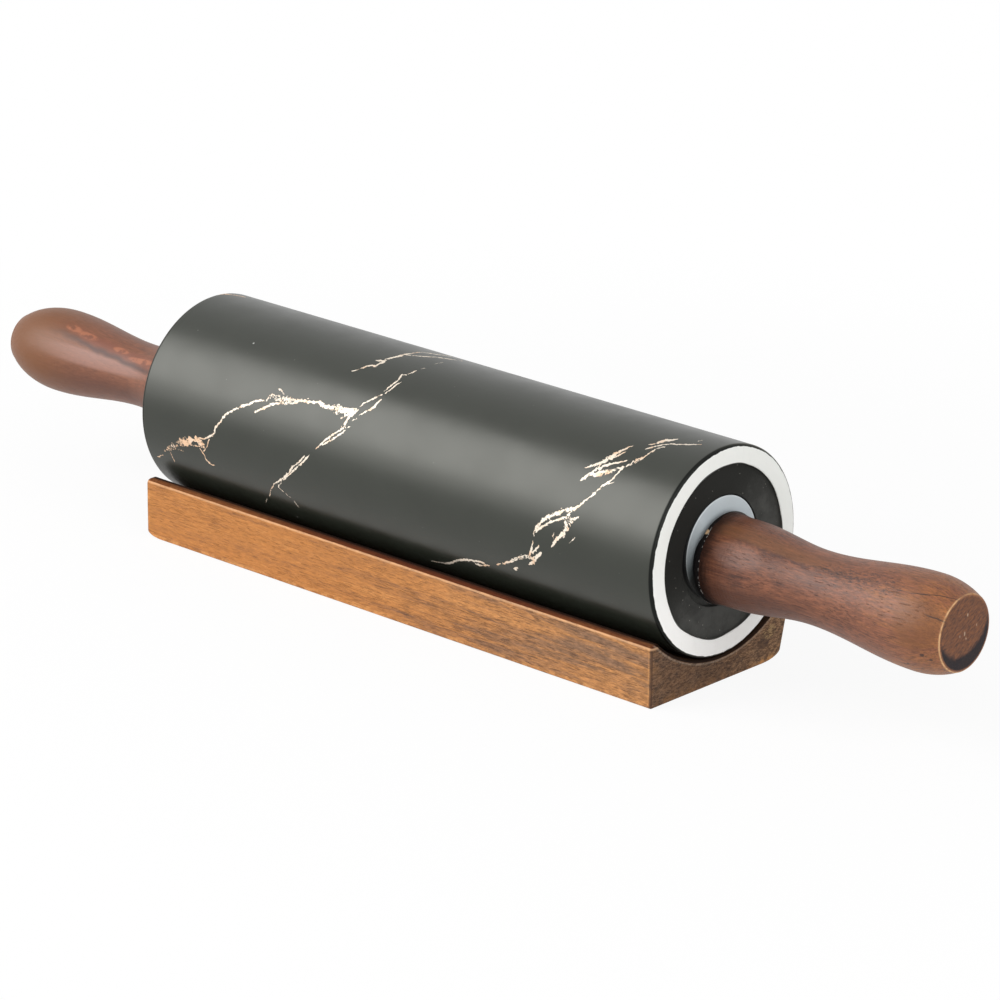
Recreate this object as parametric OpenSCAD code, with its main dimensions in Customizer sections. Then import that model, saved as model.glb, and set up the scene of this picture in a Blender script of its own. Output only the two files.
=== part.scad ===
// Rolling pin with a glazed ceramic barrel that turns freely on a steel axle,
// two turned wooden handles, and the wooden cradle that it rests in.
// Millimetres. X runs along the pin towards the near handle, Y to the back, Z up.
// The origin is on the table, midway along the pin and under its axis.

/* [Barrel] */
// Outer diameter of the barrel
barrel_d = 72; // [56:1:90]
// Length of the barrel over its two foot rings
barrel_len = 238; // [180:1:320]
// Thickness of the ceramic side wall
barrel_wall = 7; // [5:0.5:10]
// Thickness of each ceramic end wall
end_wall = 9; // [6:0.5:14]
// Rounding of the barrel's two outer edges
barrel_edge_r = 1.2; // [0.6:0.1:2.5]
// Width of the foot ring on each end, inside the rounded edge
foot_ring_w = 5.5; // [3:0.5:8]
// Depth of each end face below its foot ring
end_recess = 1.6; // [1:0.1:3]
// Rounding where the foot ring meets the end face
recess_r = 1.2; // [0.4:0.1:1.8]
// Rounding of the hollow's inner corners
hollow_r = 5; // [2:0.5:10]

/* [Bushes] */
// Diameter of the plastic sleeve in each end wall
bush_d = 22; // [18:0.5:28]
// Diameter of the loose bore that the axle lies in
bush_bore_d = 14.1; // [12.1:0.1:16.1]
// Length of each bush under its flange
bush_len = 20; // [12:1:30]
// Diameter of the visible flange
flange_d = 35; // [32:0.2:42]
// How far the flange sits above the sleeve's centre, as it was glued in
flange_offset = 1.2; // [0:0.1:1.6]
// Thickness of the flange
flange_t = 2; // [1.2:0.1:3]
// Height of the flange above the sunk end face
flange_proud = 0.4; // [0.2:0.1:0.8]
// Rounding of the flange's outer edge
flange_edge_r = 0.3; // [0.1:0.05:0.6]

/* [Axle] */
// Diameter of the steel rod in the bushes
rod_d = 10; // [8:0.5:11.5]
// Diameter of each threaded end
thread_d = 8; // [6:0.5:8]
// Length of each threaded end
thread_len = 24; // [16:1:34]
// Rounding of the rod's two tips
thread_tip_r = 1; // [0.4:0.1:2]
// Outer diameter of each thrust washer
washer_d = 22; // [18:1:26]
// Thickness of each thrust washer
washer_t = 1.4; // [1:0.1:2.5]

/* [Threaded inserts] */
// Outer diameter over the ribs that bite in the wood
insert_d = 13; // [11:0.5:15]
// Depth of the grooves between the ribs
insert_groove = 0.7; // [0.4:0.1:1]
// Spacing of the ribs
insert_pitch = 3; // [2.4:0.1:4]
// Width of each rib
insert_rib_w = 1; // [0.6:0.1:1.2]
// Length of each insert
insert_len = 27; // [20:1:34]
// Diameter of the insert's collar at the handle's base
collar_d = 17; // [16:0.5:20]
// Thickness of the collar
collar_t = 1.5; // [1:0.1:2.5]

/* [Handles] */
// Length of each handle
handle_len = 98; // [84:1:120]
// Diameter of both handles at the base
handle_base_d = 31.8; // [26:0.2:34]
// Diameter of the straight stretch that the base flares out from
shoulder_d = 29.9; // [25:0.1:32]
// Length over which the base flares out
flare_len = 6; // [3:0.5:10]
// Rounding of the base's edge
base_edge_r = 0.6; // [0.4:0.1:1.5]
// Distance from the base where the handle starts to narrow to its neck
base_land = 10; // [6:0.5:14]
// Rounding of the edge round the flat end
end_edge_r = 0.8; // [0.4:0.1:1.5]
// Diameter of the near handle's neck
near_neck_d = 24.5; // [20:0.5:28]
// Distance of the near handle's neck from its base
near_neck_x = 40; // [30:1:50]
// Diameter of the near handle's belly
near_belly_d = 32.2; // [28:0.2:38]
// Distance of the near handle's belly from its base
near_belly_x = 84; // [70:1:84]
// Length over which the near handle's nose would close
near_nose = 22.5; // [18:0.5:40]
// Diameter of the far handle's neck
far_neck_d = 23; // [20:0.5:28]
// Distance of the far handle's neck from its base
far_neck_x = 34; // [28:1:50]
// Diameter of the far handle's belly
far_belly_d = 30.3; // [28:0.1:38]
// Distance of the far handle's belly from its base
far_belly_x = 77; // [66:1:82]
// Length over which the far handle's nose would close
far_nose = 26.5; // [24:0.5:44]

/* [Cradle] */
// Height of the cradle's two rims
cradle_h = 22; // [18:1:30]
// Thickness of the wood under the trough
cradle_floor = 9.3; // [6:0.1:14]
// Width of the flat land on each rim
rim_land = 3; // [2:0.5:8]
// How much larger the trough's radius is than the barrel's
trough_extra_r = 9.4; // [2:0.2:14]
// How far the cradle stops short of the barrel's length at each end
cradle_inset = 0.5; // [0:0.5:10]
// Easing of the cradle's sharp edges
ease = 0.8; // [0.4:0.1:1.5]
// Width of the worn bottom corner at the far end
far_toe_w = 6.5; // [2:0.5:10]
// Height of the worn bottom corner at the far end
far_toe_h = 2.5; // [1:0.5:5]
// Width of the worn top corner at the far end
far_top_w = 1.8; // [0.8:0.1:4]
// Height of the worn top corner at the far end
far_top_h = 3; // [1:0.5:6]
// How far the back face leans in at its foot
back_lean_w = 3.3; // [0.5:0.1:5]
// Height where the back face starts to lean in
back_lean_h = 17; // [8:1:17]
// Width of the rounded bottom edge at the back
back_toe_w = 9; // [2:0.5:12]
// Height of the rounded bottom edge at the back
back_toe_h = 3.2; // [1:0.1:5]

/* [Hidden] */

$fn = 96;
// Overlap of a cutter past the face that it opens
past = 1;
// Gap between the barrel and the trough that carries it
seat_gap = 0.3;
// Running gap where the rod lies on the bottom of its bushes
run_gap = 0.05;
// End float between a bush and its washer
end_float = 0.2;
// Gap of a glued or screwed fit, on the radius
fit_gap = 0.05;
// Gap round a washer's hole and above a flange's edge
loose_gap = 0.15;
// Steps along a handle's outline and points on each rounded corner
outline_steps = 48;
corner_steps = 8;

barrel_r = barrel_d / 2;
half_len = barrel_len / 2;
hollow_len = barrel_len - 2 * (end_recess + end_wall);
end_face_r = barrel_r - barrel_edge_r - foot_ring_w;
axis_z = cradle_floor + seat_gap + barrel_r;

rod_r = rod_d / 2;
thread_r = thread_d / 2;
// The axle is loose in its bushes and lies on the bottom of their bores
axle_z = axis_z - (bush_bore_d / 2 - rod_r - run_gap);
bush_face = half_len - end_recess + flange_proud;
handle_face = bush_face + end_float + washer_t;

trough_r = barrel_r + trough_extra_r;
trough_z = cradle_floor + trough_r;
trough_half_w = sqrt(pow(trough_r, 2) - pow(trough_z - cradle_h, 2));
cradle_half_w = trough_half_w + rim_land;
cradle_half_len = half_len - cradle_inset;

// Lays a shape that is built round Z along the pin, at the height of an axis
module along_pin(height) {
    translate([0, 0, height]) rotate([0, 90, 0]) children();
}

// Near-end shape as drawn, or its mirror image at the far end
module at_end(near) {
    if (near) children();
    else mirror([1, 0, 0]) children();
}

// Points of a quarter ellipse about a centre, from one angle through 90 degrees
function corner(centre, radii, from) = [
    for (i = [0 : corner_steps])
        let (angle = from + 90 * i / corner_steps)
            [centre[0] + radii[0] * cos(angle), centre[1] + radii[1] * sin(angle)]
];

// Half section of a round bar from z0 to z1, with both outer edges rounded
module half_section(z0, z1, radius, edge) {
    translate([0, z0]) square([radius - edge, z1 - z0]);
    translate([0, z0 + edge]) square([radius, z1 - z0 - 2 * edge]);
    translate([radius - edge, z0 + edge]) circle(edge);
    translate([radius - edge, z1 - edge]) circle(edge);
}

// Half section of a shallow round recess with a rounded bottom edge
module recess_section(bottom, radius, edge) {
    translate([0, bottom]) square([radius - edge, end_recess + past]);
    translate([0, bottom + edge]) square([radius, end_recess + past - edge]);
    translate([radius - edge, bottom + edge]) circle(edge);
}

module barrel_shell() {
    bush_hole_r = bush_d / 2 + fit_gap;
    pocket_r = flange_d / 2 + flange_offset + loose_gap;
    pocket_depth = flange_t - flange_proud;
    color([0.21, 0.23, 0.22]) along_pin(axis_z) difference() {
        rotate_extrude() half_section(-half_len, half_len, barrel_r, barrel_edge_r);
        rotate_extrude() half_section(-hollow_len / 2, hollow_len / 2, barrel_r - barrel_wall, hollow_r);
        for (side = [0, 1]) mirror([0, 0, side]) {
            rotate_extrude() recess_section(half_len - end_recess, end_face_r, recess_r);
            translate([0, 0, half_len - end_recess - pocket_depth])
                cylinder(h = pocket_depth + past, r = pocket_r);
            translate([0, 0, hollow_len / 2 - past]) cylinder(h = end_wall + 2 * past, r = bush_hole_r);
        }
    }
}

// Flanged plastic sleeve, built for the near end
module bush() {
    along_pin(axis_z) difference() {
        union() {
            translate([0, 0, bush_face - flange_t - bush_len])
                cylinder(h = bush_len + flange_t / 2, r = bush_d / 2);
            translate([-flange_offset, 0, 0]) rotate_extrude()
                half_section(bush_face - flange_t, bush_face, flange_d / 2, flange_edge_r);
        }
        translate([0, 0, bush_face - flange_t - bush_len - past])
            cylinder(h = bush_len + flange_t + 2 * past, r = bush_bore_d / 2);
    }
}

module near_bush() {
    color([0.63, 0.70, 0.74]) bush();
}

module far_bush() {
    color([0.63, 0.70, 0.74]) at_end(false) bush();
}

// Steel rod whose shoulders the handles are screwed up to
module axle_rod() {
    color([0.70, 0.71, 0.72]) along_pin(axle_z) {
        translate([0, 0, -handle_face]) cylinder(h = 2 * handle_face, r = rod_r);
        rotate_extrude()
            half_section(-handle_face - thread_len, handle_face + thread_len, thread_r, thread_tip_r);
    }
}

// Flat ring between a turning bush and the still handle
module washer() {
    along_pin(axle_z) difference() {
        translate([0, 0, handle_face - washer_t]) cylinder(h = washer_t, r = washer_d / 2);
        translate([0, 0, handle_face - washer_t - past])
            cylinder(h = washer_t + 2 * past, r = rod_r + loose_gap);
    }
}

module near_washer() {
    color([0.78, 0.79, 0.80]) washer();
}

module far_washer() {
    color([0.78, 0.79, 0.80]) at_end(false) washer();
}

// Ribbed brass sleeve in a handle, with a collar at the handle's base
module insert() {
    core_r = insert_d / 2 - insert_groove;
    rib_count = floor((insert_len - collar_t) / insert_pitch);
    along_pin(axle_z) difference() {
        union() {
            translate([0, 0, handle_face]) cylinder(h = collar_t, r = collar_d / 2);
            translate([0, 0, handle_face]) cylinder(h = insert_len, r = core_r);
            for (i = [1 : rib_count])
                translate([0, 0, handle_face + collar_t + (i - 0.5) * insert_pitch])
                    cylinder(h = insert_rib_w, r = insert_d / 2);
        }
        translate([0, 0, handle_face - past]) cylinder(h = insert_len + 2 * past, r = thread_r + fit_gap);
    }
}

module near_insert() {
    color([0.80, 0.66, 0.36]) insert();
}

module far_insert() {
    color([0.80, 0.66, 0.36]) at_end(false) insert();
}

// Eases from one radius to another along a cosine, flat at both ends
function eased(x, x0, x1, r0, r1) = r0 + (r1 - r0) * (1 - cos(180 * (x - x0) / (x1 - x0))) / 2;

// Extra radius of the flared base at a distance from it
function flare(x) =
    x < flare_len ? (handle_base_d - shoulder_d) / 2 * pow(1 - x / flare_len, 2) : 0;

// Radius of a handle at a distance from its base: flare, shoulder, neck, belly, elliptical nose
function handle_r(x, neck_r, neck_x, belly_r, belly_x, nose) =
    x < base_land ? shoulder_d / 2 + flare(x) :
    x < neck_x ? eased(x, base_land, neck_x, shoulder_d / 2, neck_r) :
    x < belly_x ? eased(x, neck_x, belly_x, neck_r, belly_r) :
    belly_r * sqrt(1 - pow((x - belly_x) / nose, 2));

// Turned handle, built for the near end, bored for its insert and the axle's end
module handle(neck_d, neck_x, belly_d, belly_x, nose) {
    last_x = handle_len - end_edge_r;
    end_r = handle_r(last_x, neck_d / 2, neck_x, belly_d / 2, belly_x, nose) - end_edge_r;
    base_r = handle_r(base_edge_r, neck_d / 2, neck_x, belly_d / 2, belly_x, nose);
    outline = concat(
        [[0, 0]],
        corner([base_r - base_edge_r, base_edge_r], [base_edge_r, base_edge_r], 270),
        [for (i = [1 : outline_steps])
            let (x = base_edge_r + (last_x - base_edge_r) * i / outline_steps)
                [handle_r(x, neck_d / 2, neck_x, belly_d / 2, belly_x, nose), x]],
        [for (p = corner([end_r, last_x], [end_edge_r, end_edge_r], 0)) if (p[1] > last_x) p],
        [[0, handle_len]]
    );
    along_pin(axle_z) difference() {
        translate([0, 0, handle_face]) rotate_extrude() polygon(outline);
        translate([0, 0, handle_face - past]) cylinder(h = insert_len + past, r = insert_d / 2 + fit_gap);
        translate([0, 0, handle_face - past]) cylinder(h = collar_t + past, r = collar_d / 2 + fit_gap);
    }
}

module near_handle() {
    color([0.45, 0.25, 0.16]) handle(near_neck_d, near_neck_x, near_belly_d, near_belly_x, near_nose);
}

module far_handle() {
    color([0.45, 0.25, 0.16]) at_end(false)
        handle(far_neck_d, far_neck_x, far_belly_d, far_belly_x, far_nose);
}

// The cradle's outline seen along the pin: upright front, back that leans in to a rounded foot
module cradle_end_outline() {
    back_foot = cradle_half_w - back_lean_w;
    polygon(concat(
        corner([-cradle_half_w + ease, ease], [ease, ease], 180),
        corner([back_foot - back_toe_w, back_toe_h], [back_toe_w, back_toe_h], 270),
        [[cradle_half_w, back_lean_h]],
        corner([cradle_half_w - ease, cradle_h - ease], [ease, ease], 0),
        corner([-cradle_half_w + ease, cradle_h - ease], [ease, ease], 90)
    ));
}

// The cradle's outline seen from the front: crisp near end, worn far end
module cradle_side_outline() {
    polygon(concat(
        corner([-cradle_half_len + far_toe_w, far_toe_h], [far_toe_w, far_toe_h], 180),
        corner([cradle_half_len - ease, ease], [ease, ease], 270),
        corner([cradle_half_len - ease, cradle_h - ease], [ease, ease], 0),
        corner([-cradle_half_len + far_top_w, cradle_h - far_top_h], [far_top_w, far_top_h], 90)
    ));
}

module cradle() {
    color([0.72, 0.50, 0.30]) difference() {
        intersection() {
            translate([-cradle_half_len - past, 0, 0]) rotate([90, 0, 90])
                linear_extrude(2 * (cradle_half_len + past)) cradle_end_outline();
            translate([0, cradle_half_w + past, 0]) rotate([90, 0, 0])
                linear_extrude(2 * (cradle_half_w + past)) cradle_side_outline();
        }
        along_pin(trough_z) cylinder(h = 2 * (cradle_half_len + past), r = trough_r, center = true);
    }
}

cradle();
barrel_shell();
near_bush();
far_bush();
axle_rod();
near_washer();
far_washer();
near_insert();
far_insert();
near_handle();
far_handle();
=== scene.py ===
import math

import bmesh
import bpy
import numpy as np
from bpy.props import FloatProperty, FloatVectorProperty, IntProperty, PointerProperty
from mathutils import Matrix, Vector, noise


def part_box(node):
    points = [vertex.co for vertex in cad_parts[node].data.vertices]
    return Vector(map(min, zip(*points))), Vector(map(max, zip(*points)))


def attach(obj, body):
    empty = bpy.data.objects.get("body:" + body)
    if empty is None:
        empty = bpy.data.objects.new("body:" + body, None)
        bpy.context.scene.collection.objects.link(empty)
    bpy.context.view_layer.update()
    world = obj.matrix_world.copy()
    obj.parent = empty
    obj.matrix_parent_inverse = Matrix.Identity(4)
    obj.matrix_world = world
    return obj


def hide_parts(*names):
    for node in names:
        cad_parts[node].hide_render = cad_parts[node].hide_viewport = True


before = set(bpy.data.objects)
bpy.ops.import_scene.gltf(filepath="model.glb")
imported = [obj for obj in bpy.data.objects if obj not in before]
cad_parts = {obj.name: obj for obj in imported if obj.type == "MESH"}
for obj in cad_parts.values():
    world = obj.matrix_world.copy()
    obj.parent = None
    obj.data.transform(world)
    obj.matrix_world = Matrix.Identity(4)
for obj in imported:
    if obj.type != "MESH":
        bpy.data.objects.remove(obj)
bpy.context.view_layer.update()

bl_info = {
    "name": "Rolling pin in its cradle",
    "version": (1, 0, 0),
    "blender": (4, 5, 0),
    "location": "3D View > Sidebar > Rolling pin",
    "description": "Dresses a glazed rolling pin with turned handles, and the cradle it rests in",
    "category": "Object",
}

MM = 0.001

# How finely shapes are cut, in millimetres: a smaller rounding than the first gets two steps, a
# face out of sight gets few cuts, and points closer than the last to a line are on it
SMALL_ROUNDING = 0.5
HIDDEN_CUT = 20.0
TINY = 0.001

# Free margin round the unrolled surface in the unit square
UV_MARGIN = 0.004

# Heights and ends that the solids give, in millimetres
BARREL_LOW, BARREL_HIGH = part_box("barrel_shell")
CRADLE_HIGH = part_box("cradle")[1]
HANDLE_LOW, HANDLE_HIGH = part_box("near_handle")
BUSH_LOW, BUSH_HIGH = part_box("near_bush")
AXIS_Z = (BARREL_LOW[2] + BARREL_HIGH[2]) / 2 / MM
AXLE_Z = (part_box("axle_rod")[0][2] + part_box("axle_rod")[1][2]) / 2 / MM
FLANGE_Z = (BUSH_LOW[2] + BUSH_HIGH[2]) / 2 / MM

# Gold veins in the glaze. Each strand has a channel from 0 to 2, its half width in
# millimetres at its start, middle and end, and its points: millimetres along the pin,
# then degrees round the barrel from the top towards the front. Neighbouring strands
# are in different channels.
VEINS = (
    # Left vein, from its dense start to the cream patch where two veins meet
    (0, (0.17, 0.24, 0.17), (-114.5, 115.5), (-111, 112.5)),
    (0, (0.8, 1.35, 1.0), (-108.5, 108), (-106, 105.5), (-102, 102), (-98, 98.5), (-94.5, 96.5),
     (-91, 94.5), (-88, 97)),
    (2, (0.14, 0.14, 0.07), (-106, 107.5), (-106, 111), (-105.5, 115)),
    (2, (0.1, 0.1, 0.07), (-103, 105), (-100.5, 104.5), (-98.5, 104.5)),
    (1, (0.14, 0.14, 0.1), (-94.5, 98.5), (-92, 98.5), (-88.5, 97)),
    (0, (0.24, 0.31, 0.31), (-89.5, 92.5), (-87.5, 92.5), (-85, 90.5), (-82, 87), (-82, 85)),
    (1, (0.2, 0.17, 0.2), (-84.5, 91.5), (-85.5, 94), (-85.5, 95.5), (-88, 100)),
    (2, (0.17, 0.27, 0.2), (-90, 98.5), (-89, 100.5), (-88, 103), (-86.5, 107), (-83.5, 107.5)),
    (0, (0.27, 0.41, 0.3), (-82, 85), (-81, 82.5), (-79.5, 80), (-77, 74), (-74.5, 71.5),
     (-71, 68), (-67, 64.5), (-65, 62.5), (-62, 61)),
    (1, (0.34, 0.43, 0.51), (-64, 68.5), (-61.5, 66), (-57.5, 61.5), (-54, 59.5), (-47.5, 57)),
    (0, (0.43, 1.25, 0.51), (-60.5, 60.5), (-60, 58.5), (-59, 57.5), (-53, 57), (-48, 56)),
    (2, (0.21, 0.25, 0.34), (-57.5, 52.5), (-56, 53), (-54.5, 54.5)),
    (0, (0.44, 0.48, 0.41), (-48, 56), (-44.5, 54.5), (-42.5, 54.5), (-39.5, 53.5), (-37, 53)),
    (2, (0.1, 0.17, 0.1), (-44.5, 53.5), (-43, 53)),
    (1, (0.41, 0.84, 0.49), (-37.5, 52.5), (-35.5, 54), (-34, 54.5)),
    (0, (0.55, 1.5, 0.34), (-34.5, 54.5), (-30.5, 53.5), (-27, 53.5), (-23.5, 52), (-21.5, 50.5)),
    (1, (0.34, 0.34, 0.2), (-25.5, 57.5), (-24, 55), (-22.5, 52.5)),
    # Middle vein, from the top of the barrel down past the patch to its forks
    (0, (0.36, 0.63, 0.18), (-23, 62), (-23, 59), (-22.5, 56), (-21.5, 53.5), (-20, 50.5)),
    (2, (0.13, 0.22, 0.13), (-20.5, 57.5), (-19, 55)),
    (2, (0.09, 0.18, 0.09), (-21.5, 61.5), (-20.5, 60.5)),
    (1, (0.18, 0.4, 0.33), (-18.5, 53), (-17, 51), (-14.5, 47), (-14, 44), (-13.5, 41.5)),
    (0, (0.18, 0.28, 0.31), (-20, 48.5), (-19.5, 46.5), (-17.5, 43.5), (-14.5, 38.5)),
    (1, (0.24, 0.31, 0.18), (-13.5, 36.5), (-12.5, 34), (-12, 29), (-11, 27)),
    (0, (0.24, 0.24, 0.37), (-14.5, 36), (-14, 33.5), (-13, 28), (-13, 26)),
    (0, (0.37, 0.22, 0.24), (-13, 26), (-13.5, 21.5), (-12, 21), (-11, 18), (-10.5, 15.5)),
    (0, (0.09, 0.13, 0.09), (-10, 13), (-8.5, 11)),
    (0, (0.09, 0.15, 0.09), (-8.5, 4.5), (-8, 1.5), (-7.5, -1)),
    (0, (0.31, 0.31, 0.18), (-23, 62.5), (-25, 65), (-29.5, 71.5), (-31, 74), (-33, 77.5)),
    (1, (0.24, 0.33, 0.22), (-22, 63.5), (-24, 66.5), (-28.5, 72.5), (-30.5, 74.5)),
    (0, (0.22, 0.28, 0.33), (-38, 83.5), (-39.5, 86.5), (-42, 90), (-44, 92.5), (-45.5, 96),
     (-50, 102), (-52.5, 105)),
    (1, (0.24, 0.31, 0.24), (-36, 82.5), (-38, 86), (-39.5, 88.5), (-43, 93.5), (-44.5, 96),
     (-49, 102)),
    (0, (0.27, 0.19, 0.19), (-52.5, 105), (-54, 106.5), (-55.5, 109.5), (-57, 112), (-59, 117.5)),
    (0, (0.11, 0.11, 0.08), (-61.5, 121), (-64, 126)),
    (1, (0.32, 0.24, 0.13), (-50.5, 104.5), (-52, 107), (-52, 108.5), (-50, 110.5)),
    (1, (0.13, 0.16, 0.11), (-49.5, 111.5), (-47.5, 113)),
    (1, (0.11, 0.13, 0.08), (-46.5, 114), (-45, 119.5)),
    # Vein over the top of the barrel
    (0, (0.16, 0.27, 0.22), (-33, 29.5), (-31.5, 27.5)),
    (0, (0.27, 0.5, 0.43), (-30.5, 26), (-29.5, 23.5), (-28, 21.5), (-26.5, 21.5), (-26, 19),
     (-25.5, 16), (-26, 13.5)),
    (1, (0.22, 0.66, 0.32), (-29, 17), (-27.5, 16.5), (-26, 15)),
    (0, (0.43, 0.59, 0.43), (-26, 13.5), (-24.5, 10), (-23.5, 6), (-23, 2.5), (-22, 0)),
    (0, (0.32, 0.38, 0.22), (-22, 0), (-21.5, -4), (-20, -7.5), (-16, -11), (-13, -19), (-6, -27),
     (-2, -38), (7, -46), (9, -58), (18, -66)),
    (1, (0.27, 0.5, 0.22), (-22.5, 3.5), (-17, -0.5), (-14, -4.5), (-8, -10.5), (-6, -13)),
    # Right vein, from the near end down to the broken run in the middle
    (0, (0.24, 0.29, 0.41), (111, 5.5), (109, 8), (107, 10), (105, 11.5), (102, 13.5)),
    (2, (0.12, 0.17, 0.12), (108.5, 3.5), (109, 0.5)),
    (1, (0.32, 0.9, 0.24), (102, 7.5), (100.5, 10), (99, 12), (97.5, 16.5), (96, 18.5)),
    (2, (0.24, 0.41, 0.24), (102, 13.5), (100.5, 15.5), (98.5, 18.5), (96.5, 22.5)),
    (0, (0.32, 0.37, 0.24), (101.5, 17), (100, 19.5), (99, 24), (98.5, 27.5)),
    (0, (0.32, 0.84, 0.41), (98.5, 27.5), (97, 31.5), (96, 34), (95, 36.5)),
    (0, (0.22, 0.98, 0.26), (91, 23), (89, 27.5), (88, 31), (86, 36.5), (83.5, 41), (80.5, 44)),
    (1, (0.18, 0.31, 0.22), (90.5, 28.5), (88, 34.5), (86.5, 37)),
    (2, (0.26, 0.44, 0.44), (93.5, 33.5), (91.5, 35.5), (87.5, 39.5), (86, 42.5)),
    (1, (0.44, 0.91, 0.4), (94, 37.5), (90, 42), (86, 45.5), (83.5, 47), (81.5, 51)),
    (2, (0.22, 0.44, 0.26), (84.5, 41), (84.5, 44), (83.5, 46)),
    (0, (0.41, 0.41, 0.32), (94, 39), (93.5, 41.5), (92.5, 46.5), (90.5, 50.5), (89, 55),
     (86.5, 60.5), (85, 63.5), (83, 66.5)),
    (1, (0.2, 0.17, 0.08), (91.5, 49.5), (94, 47)),
    (0, (0.72, 0.65, 0.49), (83, 66.5), (80.5, 67.5), (78.5, 69.5), (75, 73), (72.5, 75.5),
     (70.5, 78.5), (69, 81.5)),
    (0, (0.58, 0.32, 0.17), (69, 81.5), (68, 84.5), (68, 87)),
    (1, (0.49, 0.41, 0.41), (69, 84), (71, 81), (73.5, 78), (77.5, 74.5), (80.5, 71.5), (82, 68.5)),
    (2, (0.32, 0.82, 0.24), (82, 69), (81.5, 72), (83, 72.5), (85.5, 70)),
    (2, (0.58, 0.9, 0.41), (80.5, 73), (81.5, 78), (80, 81.5), (78, 85), (76, 89.5)),
    (1, (0.12, 0.2, 0.12), (76.5, 82), (76, 84), (76.5, 85)),
    (1, (0.12, 0.2, 0.12), (83.5, 84.5), (85.5, 81)),
    (0, (0.2, 0.41, 0.49), (67.5, 90), (67, 94.5), (66, 98)),
    (2, (0.24, 0.41, 0.32), (70, 91.5), (69, 94), (67.5, 96.5)),
    (1, (0.32, 0.82, 0.32), (71, 95), (69.5, 97.5), (67, 100), (64, 100.5)),
    (2, (0.32, 0.53, 0.24), (68.5, 100.5), (66.5, 103), (65, 104.5)),
    (0, (0.72, 0.48, 0.29), (65, 99.5), (63, 101), (59.5, 103.5), (56, 107), (49.5, 112)),
    (2, (0.65, 1.03, 0.65), (57.5, 111), (58.5, 110)),
    (0, (0.27, 0.51, 0.38), (14.5, 129), (23, 125.5), (29, 120), (34, 116.5), (40, 114.5), (43, 114.5)),
    (2, (0.27, 0.51, 0.32), (38.5, 117), (39.5, 117.5), (45, 115)),
    (0, (0.36, 0.62, 0.36), (-118, -2.5), (-117.5, -7), (-115, -10), (-111.5, -13)),
    # Veins on the side that faces the cradle and the back
    (0, (0.3, 0.8, 0.3), (-110, 150), (-101, 161), (-97, 172), (-88, 180), (-84, 193), (-76, 199)),
    (0, (0.3, 0.4, 0.2), (-76, 199), (-70, 211), (-61, 217), (-57, 230), (-48, 238)),
    (1, (0.2, 0.5, 0.1), (-96, 166), (-104, 173), (-107, 184)),
    (1, (0.3, 0.4, 0.1), (-80, 203), (-85, 214), (-84, 226), (-91, 235)),
    (2, (0.2, 0.3, 0.1), (-66, 210), (-59, 207), (-52, 211)),
    (0, (0.1, 0.4, 0.5), (-30, 168), (-22, 179), (-19, 192), (-9, 201), (-5, 215)),
    (0, (0.5, 1.2, 0.4), (-5, 215), (1, 222), (8, 226), (14, 235)),
    (0, (0.4, 0.3, 0.1), (14, 235), (18, 249), (28, 257), (32, 270), (41, 278)),
    (1, (0.3, 0.5, 0.1), (3, 218), (12, 216), (20, 220), (27, 217)),
    (2, (0.2, 0.6, 0.1), (-2, 223), (-9, 231), (-11, 243)),
    (1, (0.2, 0.3, 0.1), (24, 259), (19, 268), (20, 279)),
    (0, (0.2, 0.4, 0.6), (112, 176), (103, 186), (98, 198), (89, 205)),
    (0, (0.6, 1.4, 0.4), (89, 205), (84, 214), (76, 219), (73, 230)),
    (0, (0.4, 0.3, 0.1), (73, 230), (64, 238), (60, 252), (51, 259), (47, 273)),
    (1, (0.3, 0.4, 0.1), (81, 211), (88, 220), (87, 232), (95, 241)),
    (2, (0.3, 0.5, 0.1), (79, 222), (70, 218), (62, 223), (57, 219)),
    (1, (0.2, 0.3, 0.1), (57, 247), (66, 255), (68, 266)),
    (0, (0.1, 0.5, 0.3), (-104, 296), (-95, 289), (-90, 277), (-79, 271), (-74, 259)),
    (1, (0.1, 0.4, 0.2), (-93, 280), (-101, 273), (-106, 262)),
    (0, (0.2, 0.9, 0.2), (100, 316), (91, 309), (86, 297), (76, 292), (70, 281)),
    (1, (0.2, 0.5, 0.1), (88, 302), (95, 294), (96, 284)),
    (2, (0.1, 0.4, 0.1), (80, 297), (72, 303), (66, 300)),
)


# Sizes and colours that a user may change


def length(title, text, millimetres):
    """Property in Blender's length unit, given in millimetres."""
    return FloatProperty(
        name=title, description=text, default=millimetres * MM, unit="LENGTH", precision=5)


def colour(title, text, red, green, blue):
    """Colour property in linear light."""
    return FloatVectorProperty(
        name=title, description=text, default=(red, green, blue), subtype="COLOR", size=3, min=0.0,
        max=1.0)


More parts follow.
